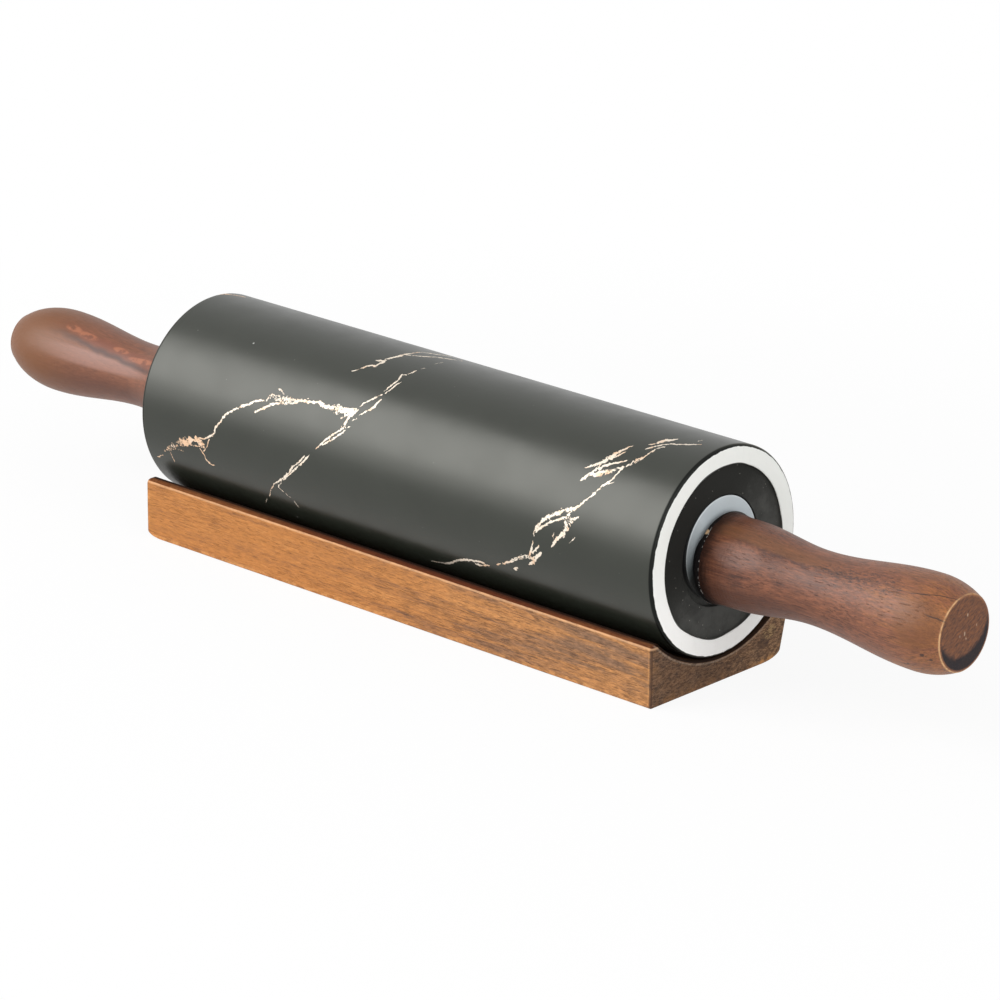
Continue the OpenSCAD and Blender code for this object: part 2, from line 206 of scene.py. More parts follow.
class BarrelSettings(bpy.types.PropertyGroup):
    radius: length(
        "Radius", "Outer radius of the barrel", (BARREL_HIGH[2] - BARREL_LOW[2]) / 2 / MM)
    half_length: length("Half length", "From the middle to a foot ring", BARREL_HIGH[0] / MM)
    wall: length("Wall", "Thickness of the ceramic side wall", 7.0)
    end_wall: length("End wall", "Thickness of each ceramic end wall", 9.0)
    edge_round: length("Edge rounding", "Rounding of the two outer edges", 1.2)
    ring_width: length("Foot ring", "Width of the foot ring inside the rounded edge", 5.5)
    recess: length("End recess", "Depth of each end face below its foot ring", 1.6)
    bush_hole: length("Bush hole", "Radius of the hole for each bush", 11.05)
    pocket: length("Flange pocket", "Radius of the pocket for each bush's flange", 18.85)
    pocket_depth: length("Pocket depth", "Depth of the flange's pocket in the end face", 1.6)
    glaze: colour("Glaze", "Satin black glaze", 0.0112, 0.0135, 0.0100)
    vein: colour("Vein", "Pale gold of the veins", 0.80, 0.70, 0.58)
    vein_dense: colour("Dense vein", "Deeper gold where veins crowd", 0.74, 0.46, 0.27)
    bare: colour("Foot ring", "Unglazed ceramic of the near foot ring", 0.89, 0.905, 0.87)


class BushSettings(bpy.types.PropertyGroup):
    sleeve: length("Sleeve radius", "Radius of the sleeve in the end wall", 11.0)
    bore: length("Bore radius", "Radius of the loose bore for the axle", 7.05)
    flange: length(
        "Flange radius", "Radius of the visible flange", (BUSH_HIGH[2] - BUSH_LOW[2]) / 2 / MM)
    flange_thickness: length("Flange thickness", "Thickness of the flange", 2.0)
    plastic: colour("Plastic", "Grey-blue moulded plastic", 0.56, 0.62, 0.65)


class HandleSettings(bpy.types.PropertyGroup):
    length: length("Length", "Length of each handle", (HANDLE_HIGH[0] - HANDLE_LOW[0]) / MM)
    base: length("Base", "Radius at the base", 15.9)
    shoulder: length("Shoulder", "Radius beside the flared base", 14.95)
    near_neck: length("Near neck", "Radius of the near handle's neck", 12.25)
    near_neck_at: length("Near neck from base", "Distance of the near neck from the base", 40.0)
    near_belly: length("Near belly", "Radius of the near handle's belly", 16.1)
    near_belly_at: length("Near belly from base", "Distance of the near belly from the base", 84.0)
    near_nose: length("Near nose", "Length over which the near nose would close", 22.5)
    far_neck: length("Far neck", "Radius of the far handle's neck", 11.5)
    far_neck_at: length("Far neck from base", "Distance of the far neck from the base", 34.0)
    far_belly: length("Far belly", "Radius of the far handle's belly", 15.15)
    far_belly_at: length("Far belly from base", "Distance of the far belly from the base", 77.0)
    far_nose: length("Far nose", "Length over which the far nose would close", 26.5)
    dark: colour("Dark wood", "Darkest streaks of the stain", 0.060, 0.018, 0.010)
    middle: colour("Stained wood", "Body of the stained wood", 0.185, 0.064, 0.030)
    light: colour("Worn wood", "Wood where the stain is thin or worn", 0.29, 0.108, 0.030)


class CradleSettings(bpy.types.PropertyGroup):
    floor: length("Floor", "Thickness of the wood under the trough", 9.3)
    rim: length("Rim", "Width of the flat land on each rim", 3.0)
    trough: length("Trough radius", "Radius of the trough", 45.4)
    ease: length("Eased edges", "Rounding of the sharp edges", 0.8)
    dark: colour("Dark wood", "Purple-grey streaks", 0.110, 0.050, 0.032)
    middle: colour("Wood", "Golden-brown body of the wood", 0.43, 0.170, 0.042)
    light: colour("Light wood", "Lightest flecks and worn edges", 0.70, 0.34, 0.12)


class MetalSettings(bpy.types.PropertyGroup):
    steel: colour("Steel", "Turned steel of the axle and washers", 0.56, 0.57, 0.58)
    brass: colour("Brass", "Turned brass of the inserts", 0.78, 0.58, 0.27)


class StudioSettings(bpy.types.PropertyGroup):
    azimuth: FloatProperty(
        name="Camera azimuth", description="Turn of the camera round the pin",
        default=math.radians(42.699), subtype="ANGLE")
    elevation: FloatProperty(
        name="Camera elevation", description="Height of the camera over the table as an angle",
        default=math.radians(19.543), subtype="ANGLE")
    roll: FloatProperty(
        name="Camera roll", description="Tilt of the camera", default=math.radians(0.467),
        subtype="ANGLE")
    distance: length("Camera distance", "From the camera to the point it looks at", 1638.44)
    aim: FloatVectorProperty(
        name="Aim", description="Point the camera looks at", default=(0.019653, 0.0, 0.038867),
        subtype="TRANSLATION", size=3)
    lens: FloatProperty(
        name="Lens", description="Focal length for a 36 mm sensor", default=174.27, unit="CAMERA")
    sky: FloatProperty(
        name="Soft light", description="Strength of the even light all round", default=0.42)
    key: FloatProperty(
        name="Key light", description="Radiance of the large light at the left", default=2.9)
    low_key: FloatProperty(
        name="Low key light", description="Radiance of the taller light behind the key light",
        default=1.75)
    fill: FloatProperty(
        name="Fill light", description="Radiance of the large light at the right", default=1.36)
    steps: IntProperty(
        name="Steps round", description="Steps round the barrel", default=270, min=96, max=300)


# Helpers for shapes


def in_mm(settings, *names):
    """Lengths from a group of settings, in millimetres."""
    return [getattr(settings, name) / MM for name in names]


def quarter(step):
    """Angles from 0 to 90 degrees, in radians."""
    return [math.radians(degrees) for degrees in range(0, 91, step)]


def path_length(points):
    """Length of the line through the points."""
    return sum(math.dist(here, after) for here, after in zip(points, points[1:]))


def rounded(corners, steps):
    """Closed outline through corners of (x, r, rounding), with an arc at each rounded one."""
    outline = []
    for index, (x, r, rounding) in enumerate(corners):
        here = Vector((x, r))
        if rounding <= 0:
            outline.append((x, r))
            continue
        before = Vector(corners[index - 1][:2])
        after = Vector(corners[(index + 1) % len(corners)][:2])
        to_before = (before - here).normalized()
        to_after = (after - here).normalized()
        half = to_before.angle(to_after) / 2
        centre = here + (to_before + to_after).normalized() * rounding / math.sin(half)
        start = here + to_before * rounding / math.tan(half) - centre
        stop = here + to_after * rounding / math.tan(half) - centre
        sweep = math.pi - 2 * half
        count = steps if rounding > SMALL_ROUNDING else 2
        for step in range(count + 1):
            share = step / count
            point = start * math.sin((1 - share) * sweep) + stop * math.sin(share * sweep)
            outline.append(tuple(centre + point / math.sin(sweep)))
    return outline


def turned(name, outline, height, steps, longest, closed=True, strips=None, fine_from=0.0):
    """Spins a half section of (x, r) points round the line along the pin at a height, all in
    millimetres, and unrolls the surface into the unit square. Strips are pairs of a distance
    along the outline and the place across the square that it gets. Below the radius fine_from
    the outline is cut coarsely."""
    mesh = bmesh.new()
    run = mesh.verts.layers.float.new("run")
    rim = []
    done = 0.0
    for here, after in zip(outline, outline[1:] + outline[:closed]):
        stretch = math.dist(here, after)
        coarse = min(here[1], after[1]) < fine_from
        cuts = int(stretch / (HIDDEN_CUT if coarse else longest)) + 1
        for cut in range(cuts):
            share = cut / cuts
            vert = mesh.verts.new((
                here[0] + (after[0] - here[0]) * share, 0.0, here[1] + (after[1] - here[1]) * share))
            vert[run] = done + stretch * share
            rim.append(vert)
        done += stretch
    if not closed:
        rim.append(mesh.verts.new((outline[-1][0], 0.0, outline[-1][1])))
        rim[-1][run] = done
    for pair in zip(rim, rim[1:] + rim[:closed]):
        mesh.edges.new(pair)
    bmesh.ops.spin(
        mesh, geom=mesh.verts[:] + mesh.edges[:], cent=(0, 0, 0), axis=(1, 0, 0), angle=math.tau,
        steps=steps, use_merge=True)
    bmesh.ops.remove_doubles(mesh, verts=mesh.verts, dist=0.0001)
    bmesh.ops.recalc_face_normals(mesh, faces=mesh.faces)
    bmesh.ops.translate(mesh, verts=mesh.verts, vec=(0, 0, height))
    bmesh.ops.scale(mesh, verts=mesh.verts, vec=(MM, MM, MM))
    piece = finished(name, mesh)
    unroll(piece, height, strips or [(0, 0.0), (done, 1.0)])
    return piece


def placed(name, data):
    """Object with this data, in the scene."""
    piece = bpy.data.objects.new(name, data)
    bpy.context.scene.collection.objects.link(piece)
    return piece


def finished(name, mesh):
    """Object with a smooth mesh whose flat faces stay flat."""
    for face in mesh.faces:
        face.smooth = True
    data = bpy.data.meshes.new(name)
    mesh.to_mesh(data)
    mesh.free()
    piece = placed(name, data)
    flat = piece.modifiers.new("Flat faces", "WEIGHTED_NORMAL")
    flat.keep_sharp = True
    return piece


def fetched(items, field, kind, width=1):
    """One number or vector of each item, as an array of numbers."""
    values = np.empty(len(items) * width, dtype=kind)
    items.foreach_get(field, values)
    return values


def places(piece):
    """Vertices of a piece as an array, in millimetres."""
    return fetched(piece.data.vertices, "co", np.float32, 3).reshape(-1, 3).astype(float) / MM


def closed_up(values, first, count):
    """Face corners on both sides of the join, where one side is moved up by a whole turn."""
    high = np.repeat(np.maximum.reduceat(values, first), count)
    low = np.repeat(np.minimum.reduceat(values, first), count)
    return values + ((high - low > 0.5) & (values < 0.5))


def unroll(piece, height, strips):
    """UV map of a turned piece: across for the way along the outline, up for the turn."""
    data = piece.data
    spots = places(piece)
    corner = fetched(data.loops, "vertex_index", np.int32)
    first = fetched(data.polygons, "loop_start", np.int32)
    count = fetched(data.polygons, "loop_total", np.int32)
    run = fetched(data.attributes["run"].data, "value", np.float32)
    across = np.interp(run, *zip(*strips))[corner]
    turn = np.arctan2(-spots[:, 1], spots[:, 2] - height) / math.tau + 0.5
    up = turn[corner]
    # A corner on the axis has no turn of its own, so it takes the middle of its face
    pole = (np.hypot(spots[:, 1], spots[:, 2] - height) < TINY)[corner]
    inner = closed_up(np.where(pole, np.roll(up, 1), up), first, count)
    middle = np.add.reduceat(np.where(pole, 0.0, inner), first)
    middle = middle / np.maximum(count - np.add.reduceat(pole.astype(int), first), 1)
    up = np.where(pole, np.repeat(middle, count), inner)
    across = closed_up(across, first, count)
    layer = data.uv_layers.new(name="OFBake")
    square = np.column_stack((across, up)).astype(np.float32).ravel()
    layer.data.foreach_set("uv", square * (1 - 2 * UV_MARGIN) + UV_MARGIN)


def keep(piece, name, kind, values):
    """Writes one value or vector for each vertex, for the piece's material to read."""
    field = "vector" if kind == "FLOAT_VECTOR" else "value"
    layer = piece.data.attributes.new(name, kind, "POINT")
    layer.data.foreach_set(field, np.asarray(values, dtype=np.float32).ravel())


def carried(piece, body, nodes, material):
    """Gives a piece its finish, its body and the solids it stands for."""
    piece.data.materials.append(material)
    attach(piece, body)
    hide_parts(*nodes)


# Helpers for materials


class Wiring:
    """Places nodes in one node tree and joins them."""

    def __init__(self, tree):
        self.tree = tree

    def fill(self, node, sockets):
        """Joins an output to each input of the node, or sets the input's value."""
        for key, value in sockets.items():
            if isinstance(value, bpy.types.NodeSocket):
                self.tree.links.new(value, node.inputs[key])
            else:
                node.inputs[key].default_value = value

    def put(self, kind, sockets=None, **settings):
        node = self.tree.nodes.new(kind)
        for name, value in settings.items():
            setattr(node, name, value)
        self.fill(node, sockets or {})
        return node

    def calc(self, operation, *values, clamp=False):
        sockets = dict(enumerate(values))
        return self.put("ShaderNodeMath", sockets, operation=operation, use_clamp=clamp).outputs[0]

    def fold(self, operation, values):
        """Joins the values in their order, two at a time."""
        result = values[0]
        for value in values[1:]:
            result = self.calc(operation, result, value)
        return result

    def times(self, *values):
        return self.fold("MULTIPLY", values)

    def plus(self, *values):
        return self.fold("ADD", values)

    def larger(self, *values):
        return self.fold("MAXIMUM", values)

    def smaller(self, *values):
        return self.fold("MINIMUM", values)

    def minus(self, value, part, clamp=False):
        return self.calc("SUBTRACT", value, part, clamp=clamp)

    def absolute(self, value):
        return self.calc("ABSOLUTE", value)

    def apart(self, value, centre):
        """Distance between two values."""
        return self.absolute(self.minus(value, centre))

    def span(self, value, low, high, start=0.0, stop=1.0, kind="SMOOTHSTEP"):
        """Value that goes from start to stop while the first one goes from low to high."""
        sockets = {0: value, 1: low, 2: high, 3: start, 4: stop}
        return self.put("ShaderNodeMapRange", sockets, interpolation_type=kind).outputs[0]

    def fall(self, value, low, high):
        """As span, from one to nothing."""
        return self.span(value, low, high, 1.0, 0.0)

    def ramp(self, value, low, high, start, stop):
        """As span, along a straight line."""
        return self.span(value, low, high, start, stop, "LINEAR")

    def noise(self, place, scale, detail=2.0, rough=0.5, bend=0.0):
        sockets = {
            "Vector": place, "Scale": scale, "Detail": detail, "Roughness": rough, "Distortion": bend}
        return self.put("ShaderNodeTexNoise", sockets).outputs["Fac"]

    def stretch(self, place, scale, shift=(0.0, 0.0, 0.0), turn=(0.0, 0.0, 0.0)):
        return self.put("ShaderNodeMapping", {0: place, 1: shift, 2: turn, 3: scale}).outputs[0]

    def shifted(self, place, shift):
        return self.stretch(place, (1, 1, 1), shift)

    def grain(self, place, scale, shift=(0.0, 0.0, 0.0), detail=2.0, rough=0.5, bend=0.0):
        """Noise with a scale of its own along each axis."""
        return self.noise(self.stretch(place, scale, shift), 1.0, detail, rough, bend)

    def vector(self, operation, *values):
        return self.put("ShaderNodeVectorMath", dict(enumerate(values)), operation=operation)

    def scaled(self, vector, factor):
        """Vector or colour times a number."""
        return self.put("ShaderNodeVectorMath", {0: vector, 3: factor}, operation="SCALE").outputs[0]

    def mix(self, share, first, second):
        """Colour between two colours. A fixed colour is given as red, green and blue."""
        sockets = {0: share}
        for key, tint in ((6, first), (7, second)):
            sockets[key] = tint if isinstance(tint, bpy.types.NodeSocket) else (*tint, 1.0)
        return self.put("ShaderNodeMix", sockets, data_type="RGBA").outputs[2]

    def paint(self, base, mask, share, tint):
        """Base colour with this share of a tint inside the mask."""
        return self.mix(self.times(mask, share), base, tint)

    def bump(self, height, strength=1.0):
        """Normal of a surface with a height in millimetres."""
        sockets = {"Strength": strength, "Distance": MM, "Height": height}
        return self.put("ShaderNodeBump", sockets).outputs[0]

    def between(self, share, first, second):
        return self.put("ShaderNodeMix", {0: share, 2: first, 3: second}).outputs[0]

    def split(self, vector):
        return self.put("ShaderNodeSeparateXYZ", {0: vector}).outputs

    def attribute(self, name, output):
        return self.put("ShaderNodeAttribute", attribute_name=name).outputs[output]

    def millimetres(self):
        """Place on the object in millimetres."""
        return self.scaled(self.put("ShaderNodeTexCoord").outputs["Object"], 1 / MM)

    def from_line(self, spot, height):
        """Distance from a line along the pin at a height."""
        rise = self.minus(spot["Z"], height)
        square = self.calc("MULTIPLY_ADD", rise, rise, self.times(spot["Y"], spot["Y"]))
        return self.calc("SQRT", square)

    def degrees_round(self, spot, height):
        """Turn round a line along the pin, from the top towards the front."""
        rise = self.minus(spot["Z"], height)
        return self.calc("DEGREES", self.calc("ARCTAN2", self.times(spot["Y"], -1.0), rise))

    def blob(self, along, across, at, size):
        """Ellipse with a soft edge, at a place given by two coordinates."""
        a = self.calc("DIVIDE", self.minus(along, at[0]), size[0])
        b = self.calc("DIVIDE", self.minus(across, at[1]), size[1])
        return self.fall(self.calc("MULTIPLY_ADD", a, a, self.times(b, b)), 0.4, 1.3)

    def group(self, tree, **sockets):
        node = self.put("ShaderNodeGroup", node_tree=tree)
        self.fill(node, spaced(sockets))
        return node.outputs


def spaced(sockets):
    """Socket names with spaces, from keywords with underscores."""
    return {key.replace("_", " "): value for key, value in sockets.items()}


def new_group(name, inputs, outputs):
    """Node group with named sockets. Returns its wiring, its inputs and its output node."""
    tree = bpy.data.node_groups.new(name, "ShaderNodeTree")
    for title, start in inputs.items():
        kind = "NodeSocketVector" if start is None else "NodeSocketFloat"
        socket = tree.interface.new_socket(title, in_out="INPUT", socket_type=kind)
        if start is not None:
            socket.default_value = start
    for title in outputs:
        tree.interface.new_socket(title, in_out="OUTPUT", socket_type="NodeSocketFloat")
    wiring = Wiring(tree)
    return wiring, wiring.put("NodeGroupInput").outputs, wiring.put("NodeGroupOutput")


def shared(name, make):
    """Node group of this name, made the first time that it is asked for."""
    return bpy.data.node_groups.get(name) or make(name)


def new_material(name, **constants):
    """Material with one Principled shader. Returns it, its wiring and the shader."""
    material = bpy.data.materials.new(name)
    material.use_nodes = True
    material.node_tree.nodes.clear()
    wiring = Wiring(material.node_tree)
    shader = wiring.put("ShaderNodeBsdfPrincipled")
    wiring.fill(shader, spaced(constants))
    wiring.put("ShaderNodeOutputMaterial", {0: shader.outputs[0]})
    return material, wiring, shader


def dimmed(rgb, factor):
    return [level * factor for level in rgb]


def plug(wiring, node, **sockets):
    """Joins outputs to the inputs of a shader or of a group's output."""
    wiring.fill(node, spaced(sockets))


def make_specks(name):
    """Sparse round specks, such as dust or pinholes."""
    w, given, out = new_group(name, {"Place": None, "Spacing": 5.0, "Size": 0.2, "Share": 0.3}, ["Mask"])
    scale = w.calc("DIVIDE", 1.0, given["Spacing"])
    cell = w.put("ShaderNodeTexVoronoi", {"Vector": given["Place"], "Scale": scale})
    reach = w.times(cell.outputs["Distance"], given["Spacing"])
    pick = w.split(cell.outputs["Color"])
    size = w.times(given["Size"], w.plus(0.4, pick["Y"]))
    inside = w.fall(w.calc("DIVIDE", reach, size), 0.7, 1.1)
    chosen = w.calc("LESS_THAN", pick["X"], given["Share"])
    plug(w, out, Mask=w.times(inside, chosen))
    return w.tree


def make_strand(name):
    """How far a spot is outside one channel's strand, in millimetres, with a torn edge."""
    w, given, out = new_group(
        name, {"Side": 0.0, "Width": -1.0, "Wander": 0.5, "Tear": 0.5}, ["Gap"])
    side = w.plus(given["Side"], w.ramp(given["Wander"], 0.25, 0.75, -0.34, 0.34))
    torn = w.ramp(given["Tear"], 0.3, 0.66, 0.2, 1.5)
    width = w.times(given["Width"], w.between(w.calc("LESS_THAN", given["Width"], 0.0), torn, 1.0))
    plug(w, out, Gap=w.minus(w.absolute(side), width))
    return w.tree


def make_timber(name):
    """Solid wood with its grain along X: growth rings, fibres, pores and blotches."""
    inputs = {
        "Place": None, "Ring spacing": 3.0, "Wander": 4.0, "Pith Y": 20.0, "Pith Z": -10.0,
        "Pore share": 0.3}
    w, given, out = new_group(name, inputs, ["Rings", "Fibres", "Pores", "Blotches"])
    place = given["Place"]
    slow = w.stretch(place, (0.012, 0.05, 0.05))
    drift = w.put("ShaderNodeTexNoise", {"Vector": slow, "Scale": 1.0, "Detail": 2.0}).outputs["Color"]
    drift = w.vector("SUBTRACT", drift, (0.5, 0.5, 0.5)).outputs[0]
    drift = w.scaled(drift, given["Wander"])
    spot = w.split(w.vector("ADD", place, drift).outputs[0])
    off_y = w.minus(spot["Y"], given["Pith Y"])
    off_z = w.minus(spot["Z"], given["Pith Z"])
    reach = w.calc("SQRT", w.plus(w.times(off_y, off_y), w.times(off_z, off_z)))
    uneven = w.grain(place, (0.02, 0.3, 0.3))
    ring = w.plus(w.calc("DIVIDE", reach, given["Ring spacing"]), uneven)
    late = w.calc("POWER", w.calc("FRACT", ring), 2.2)
    soft = w.times(late, w.fall(w.calc("FRACT", ring), 0.9, 1.0))
    fibres = w.grain(place, (0.035, 2.1, 2.1), detail=4.0, rough=0.6, bend=0.3)
    dashes = w.grain(place, (0.16, 2.9, 2.9), detail=1.0)
    crowd = w.grain(place, (0.02, 0.16, 0.16), (7.0, 3.0, 1.0))
    need = w.minus(0.78, w.times(given["Pore share"], crowd))
    pores = w.span(w.minus(dashes, need), 0.0, 0.05)
    blotches = w.grain(
        place, (0.03, 0.085, 0.085), (1.0, 5.0, 9.0), detail=4.0, rough=0.55, bend=0.4)
    plug(w, out, Rings=soft, Fibres=fibres, Pores=pores, Blotches=blotches)
    return w.tree


def make_turning(name):
    """Fine rings that a lathe leaves round a part that turns along X."""
    w, given, out = new_group(name, {"Place": None, "Pitch": 0.4}, ["Rings", "Marks"])
    spot = w.split(given["Place"])
    reach = w.plus(spot["X"], w.times(0.03, w.noise(given["Place"], 0.3)))
    wave = w.calc("SINE", w.times(w.calc("DIVIDE", reach, given["Pitch"]), math.tau))
    marks = w.grain(given["Place"], (3.0, 0.15, 0.15), detail=3.0, rough=0.7)
    plug(w, out, Rings=w.span(wave, -1.0, 1.0), Marks=marks)
    return w.tree


# Finishes

# Beyond this distance from the middle, in millimetres, the barrel has only its end faces
END_FACES_FROM = 113.0


def gold_veins(w, settings, place, spot):
    """Colour of the torn gold veins, and where they are."""
    side = w.split(w.attribute("vein_side", "Vector"))
    width = w.split(w.attribute("vein_width", "Vector"))
    bend = w.noise(place, 0.75, 4.0, 0.62)
    tear = w.noise(w.shifted(place, (31.0, 17.0, 5.0)), 0.55, 3.0, 0.6)
    strand = shared("Vein strand", make_strand)
    gaps = [
        w.group(strand, Side=side[axis], Width=width[axis], Wander=bend, Tear=tear)["Gap"]
        for axis in "XYZ"]
    gap = w.smaller(*gaps)
    widest = w.larger(*(width[axis] for axis in "XYZ"))
    ragged = w.minus(w.noise(place, 1.15, 3.0, 0.7), 0.5)
    gap = w.calc("MULTIPLY_ADD", ragged, w.calc("MULTIPLY_ADD", widest, 1.7, 0.5), gap)
    body = w.fall(gap, -0.06, 0.05)
    holes = w.grain(place, (1.0, 1.2, 1.2), (3.0, 71.0, 23.0), detail=3.0, rough=0.65, bend=0.8)
    open_share = w.span(w.noise(place, 0.06), 0.42, 0.58, 0.34, 0.50)
    open_share = w.plus(open_share, w.span(spot["X"], -80.0, -90.0, 0.0, 0.06))
    flake = w.span(w.minus(holes, open_share), -0.05, 0.02)
    vein = w.times(body, w.between(w.span(widest, 0.35, 0.7), 1.0, flake))
    deep = w.plus(w.noise(place, 0.25), w.span(spot["X"], -80.0, -92.0, 0.0, 0.3))
    gold = w.mix(w.span(deep, 0.45, 0.75), settings.vein, settings.vein_dense)
    gold = w.mix(w.span(w.noise(place, 2.3), 0.3, 0.75, 0.0, 0.35), gold, (0.86, 0.76, 0.64))
    return gold, vein


def glaze_finish(settings):
    """Satin black glaze with torn gold veins, and the bare foot ring at the near end."""
    material, w, shader = new_material(
        "Black glaze with gold veins", IOR=1.5, Specular_Tint=(1.0, 0.99, 0.92, 1.0))
    place = w.millimetres()
    spot = w.split(place)
    specks = shared("Specks", make_specks)

    gold, vein = gold_veins(w, settings, place, spot)

    # Glaze
    cloud = w.noise(place, 0.035, 4.0, 0.6)
    black = w.mix(cloud, settings.glaze, [level * 1.5 + 0.001 for level in settings.glaze])
    pale = w.group(specks, Place=place, Spacing=9.0, Size=0.27, Share=0.6)["Mask"]
    dust = w.group(
        specks, Place=w.shifted(place, (4.0, 9.0, 2.0)), Spacing=2.6, Size=0.11, Share=0.14)
    black = w.paint(black, pale, 0.8, (0.52, 0.52, 0.5))
    black = w.paint(black, dust["Mask"], 0.4, (0.3, 0.29, 0.27))

    # Sunk end faces, more matt than the wall, with lint; painted shade at the front, painted light at the
    # bottom
    reach = w.from_line(spot, AXIS_Z)
    ends = w.calc("GREATER_THAN", w.absolute(spot["X"]), END_FACES_FROM)
    radius, edge_round, ring_width, half = in_mm(
        settings, "radius", "edge_round", "ring_width", "half_length")
    ring_inner = radius - edge_round - ring_width
    sunk = w.times(ends, w.calc("LESS_THAN", reach, ring_inner + 0.2))
    smear = w.noise(w.shifted(place, (2.0, 8.0, 5.0)), 0.16, 5.0, 0.7)
    # Painted shade and light across the end faces: darker at the front, lighter at the bottom
    low = w.calc("MULTIPLY_ADD", spot["Y"], 0.6, w.times(w.minus(AXIS_Z, spot["Z"]), 0.75))
    low = w.span(low, -18.0, 18.0, -0.30, 0.20)
    lint = w.group(
        specks, Place=w.shifted(place, (5.0, 1.0, 7.0)), Spacing=1.7, Size=0.17, Share=0.5)
    matt = w.span(w.plus(smear, low), 0.3, 0.85)
    matt = w.mix(matt, (0.0085, 0.0088, 0.008), (0.046, 0.046, 0.043))
    matt = w.paint(matt, lint["Mask"], 0.55, (0.36, 0.35, 0.31))
    black = w.mix(sunk, black, matt)

    # Bare ring, wiped clean by hand on its inside
    wiped = w.ramp(w.noise(place, 0.05, 1.0), 0.25, 0.75, -0.7, 0.7)
    inner = w.span(w.minus(reach, w.plus(wiped, ring_inner + 0.25)), -0.06, 0.1)
    fine = w.ramp(w.noise(place, 0.35), 0.25, 0.75, -0.16, 0.16)
    outer_r = radius - edge_round + 0.35
    outer = w.fall(w.minus(reach, w.plus(fine, outer_r)), -0.08, 0.08)
    face = w.calc("GREATER_THAN", spot["X"], half - 0.35)
    bare = w.times(inner, outer, face)
    grey = w.span(w.noise(w.stretch(place, (1.0, 1.0, 0.25)), 0.5, 4.0, 0.7), 0.55, 0.8)
    # Painted light: the bare ring is whiter towards the bottom, where the handle shades it
    clay_with_painted_light = w.mix(w.span(spot["Z"], 24.0, 60.0), (0.97, 0.97, 0.95), settings.bare)
    clay_with_painted_light = w.paint(clay_with_painted_light, grey, 0.12, (0.52, 0.52, 0.5))

    # Painted shade: a line of dull black round the bare ring, where glaze and bare ceramic meet
    line = w.span(w.absolute(spot["X"]), half - 1.5, half - 1.0)
    line = w.times(line, w.span(reach, outer_r - 0.1, outer_r + 0.1))
    black = w.mix(line, black, (0.014, 0.015, 0.014))
    # Metal with a dark colour reflects little: painted shade on the end faces' front and on the line
    # round the ring
    dull = w.larger(w.times(sunk, w.span(low, 0.0, -0.3, 0.0, 0.5)), w.times(line, 0.9))

    rough = w.span(w.noise(place, 0.09, 3.0), 0.25, 0.75, 0.29, 0.35)
    for part, level in ((sunk, 0.72), (vein, 0.45), (bare, 0.82)):
        rough = w.between(part, rough, level)
    height = w.plus(
        w.times(w.noise(place, 0.4), 0.012), w.times(vein, 0.03),
        w.times(w.plus(bare, sunk), w.times(w.noise(place, 2.2, 3.0), 0.08)))
    metal = w.times(w.larger(w.times(vein, 0.3), dull), w.minus(1.0, bare))
    tone = w.mix(bare, w.mix(vein, black, gold), clay_with_painted_light)
    plug(w, shader, Base_Color=tone, Roughness=rough, Metallic=metal, Normal=w.bump(height))
    return material


def plastic_finish(settings):
    """Moulded plastic with a faint sheen, scuffs, dust, a painted lip highlight and painted shade."""
    material, w, shader = new_material("Moulded grey plastic", IOR=1.49)
    place = w.millimetres()
    spot = w.split(place)
    specks = shared("Specks", make_specks)
    cloud = w.noise(place, 0.08, 3.0)
    tone = w.mix(cloud, dimmed(settings.plastic, 0.88), settings.plastic)
    dust = w.group(specks, Place=place, Spacing=1.8, Size=0.12, Share=0.25)["Mask"]
    tone = w.paint(tone, dust, 0.4, (0.12, 0.12, 0.12))
    reach = w.from_line(spot, FLANGE_Z)
    rim = settings.flange / MM
    # Painted highlight along the flange's lip
    lip = w.span(reach, rim - 0.6, rim - 0.3)
    tone = w.paint(tone, lip, 0.35, (0.82, 0.86, 0.88))

    # Painted shade: darker down the front, black in the gap round the flange, below and beside the handle
    face = BUSH_HIGH[0] / MM
    turn = w.degrees_round(spot, FLANGE_Z)
    tone = w.mix(w.ramp(turn, 42.0, 106.0, 0.0, 0.93), tone, (0.016, 0.02, 0.018))
    edge = w.times(
        w.span(reach, rim - 0.3, rim - 0.1), w.span(w.absolute(spot["X"]), face - 0.1, face - 0.3))
    under = w.calc("MULTIPLY_ADD", cloud, 8.0, w.apart(turn, 178.0))
    ring = w.span(w.degrees_round(spot, AXLE_Z), 34.0, 66.0, 12.9, 14.3)
    ring = w.fall(w.minus(w.from_line(spot, AXLE_Z), ring), -0.15, 0.2)
    painted_shade = w.larger(edge, w.fall(under, 64.0, 72.0), ring)
    # Colour of the painted shade, blackest at the bottom
    soot = w.mix(w.span(turn, 104.0, 120.0), (0.008, 0.008, 0.008), (0.022, 0.022, 0.021))
    tone = w.paint(tone, painted_shade, 0.96, soot)
    rings = w.span(w.calc("SINE", w.times(reach, 9.0)), -1.0, 1.0)
    rough = w.span(w.noise(place, 0.5, 3.0), 0.3, 0.7, 0.38, 0.52)
    rough = w.between(painted_shade, rough, 0.8)
    height = w.plus(w.times(rings, 0.006), w.times(w.noise(place, 3.0), 0.02))
    plug(w, shader, Base_Color=tone, Roughness=rough, Metallic=w.times(painted_shade, 0.5), Normal=w.bump(height))
    return material


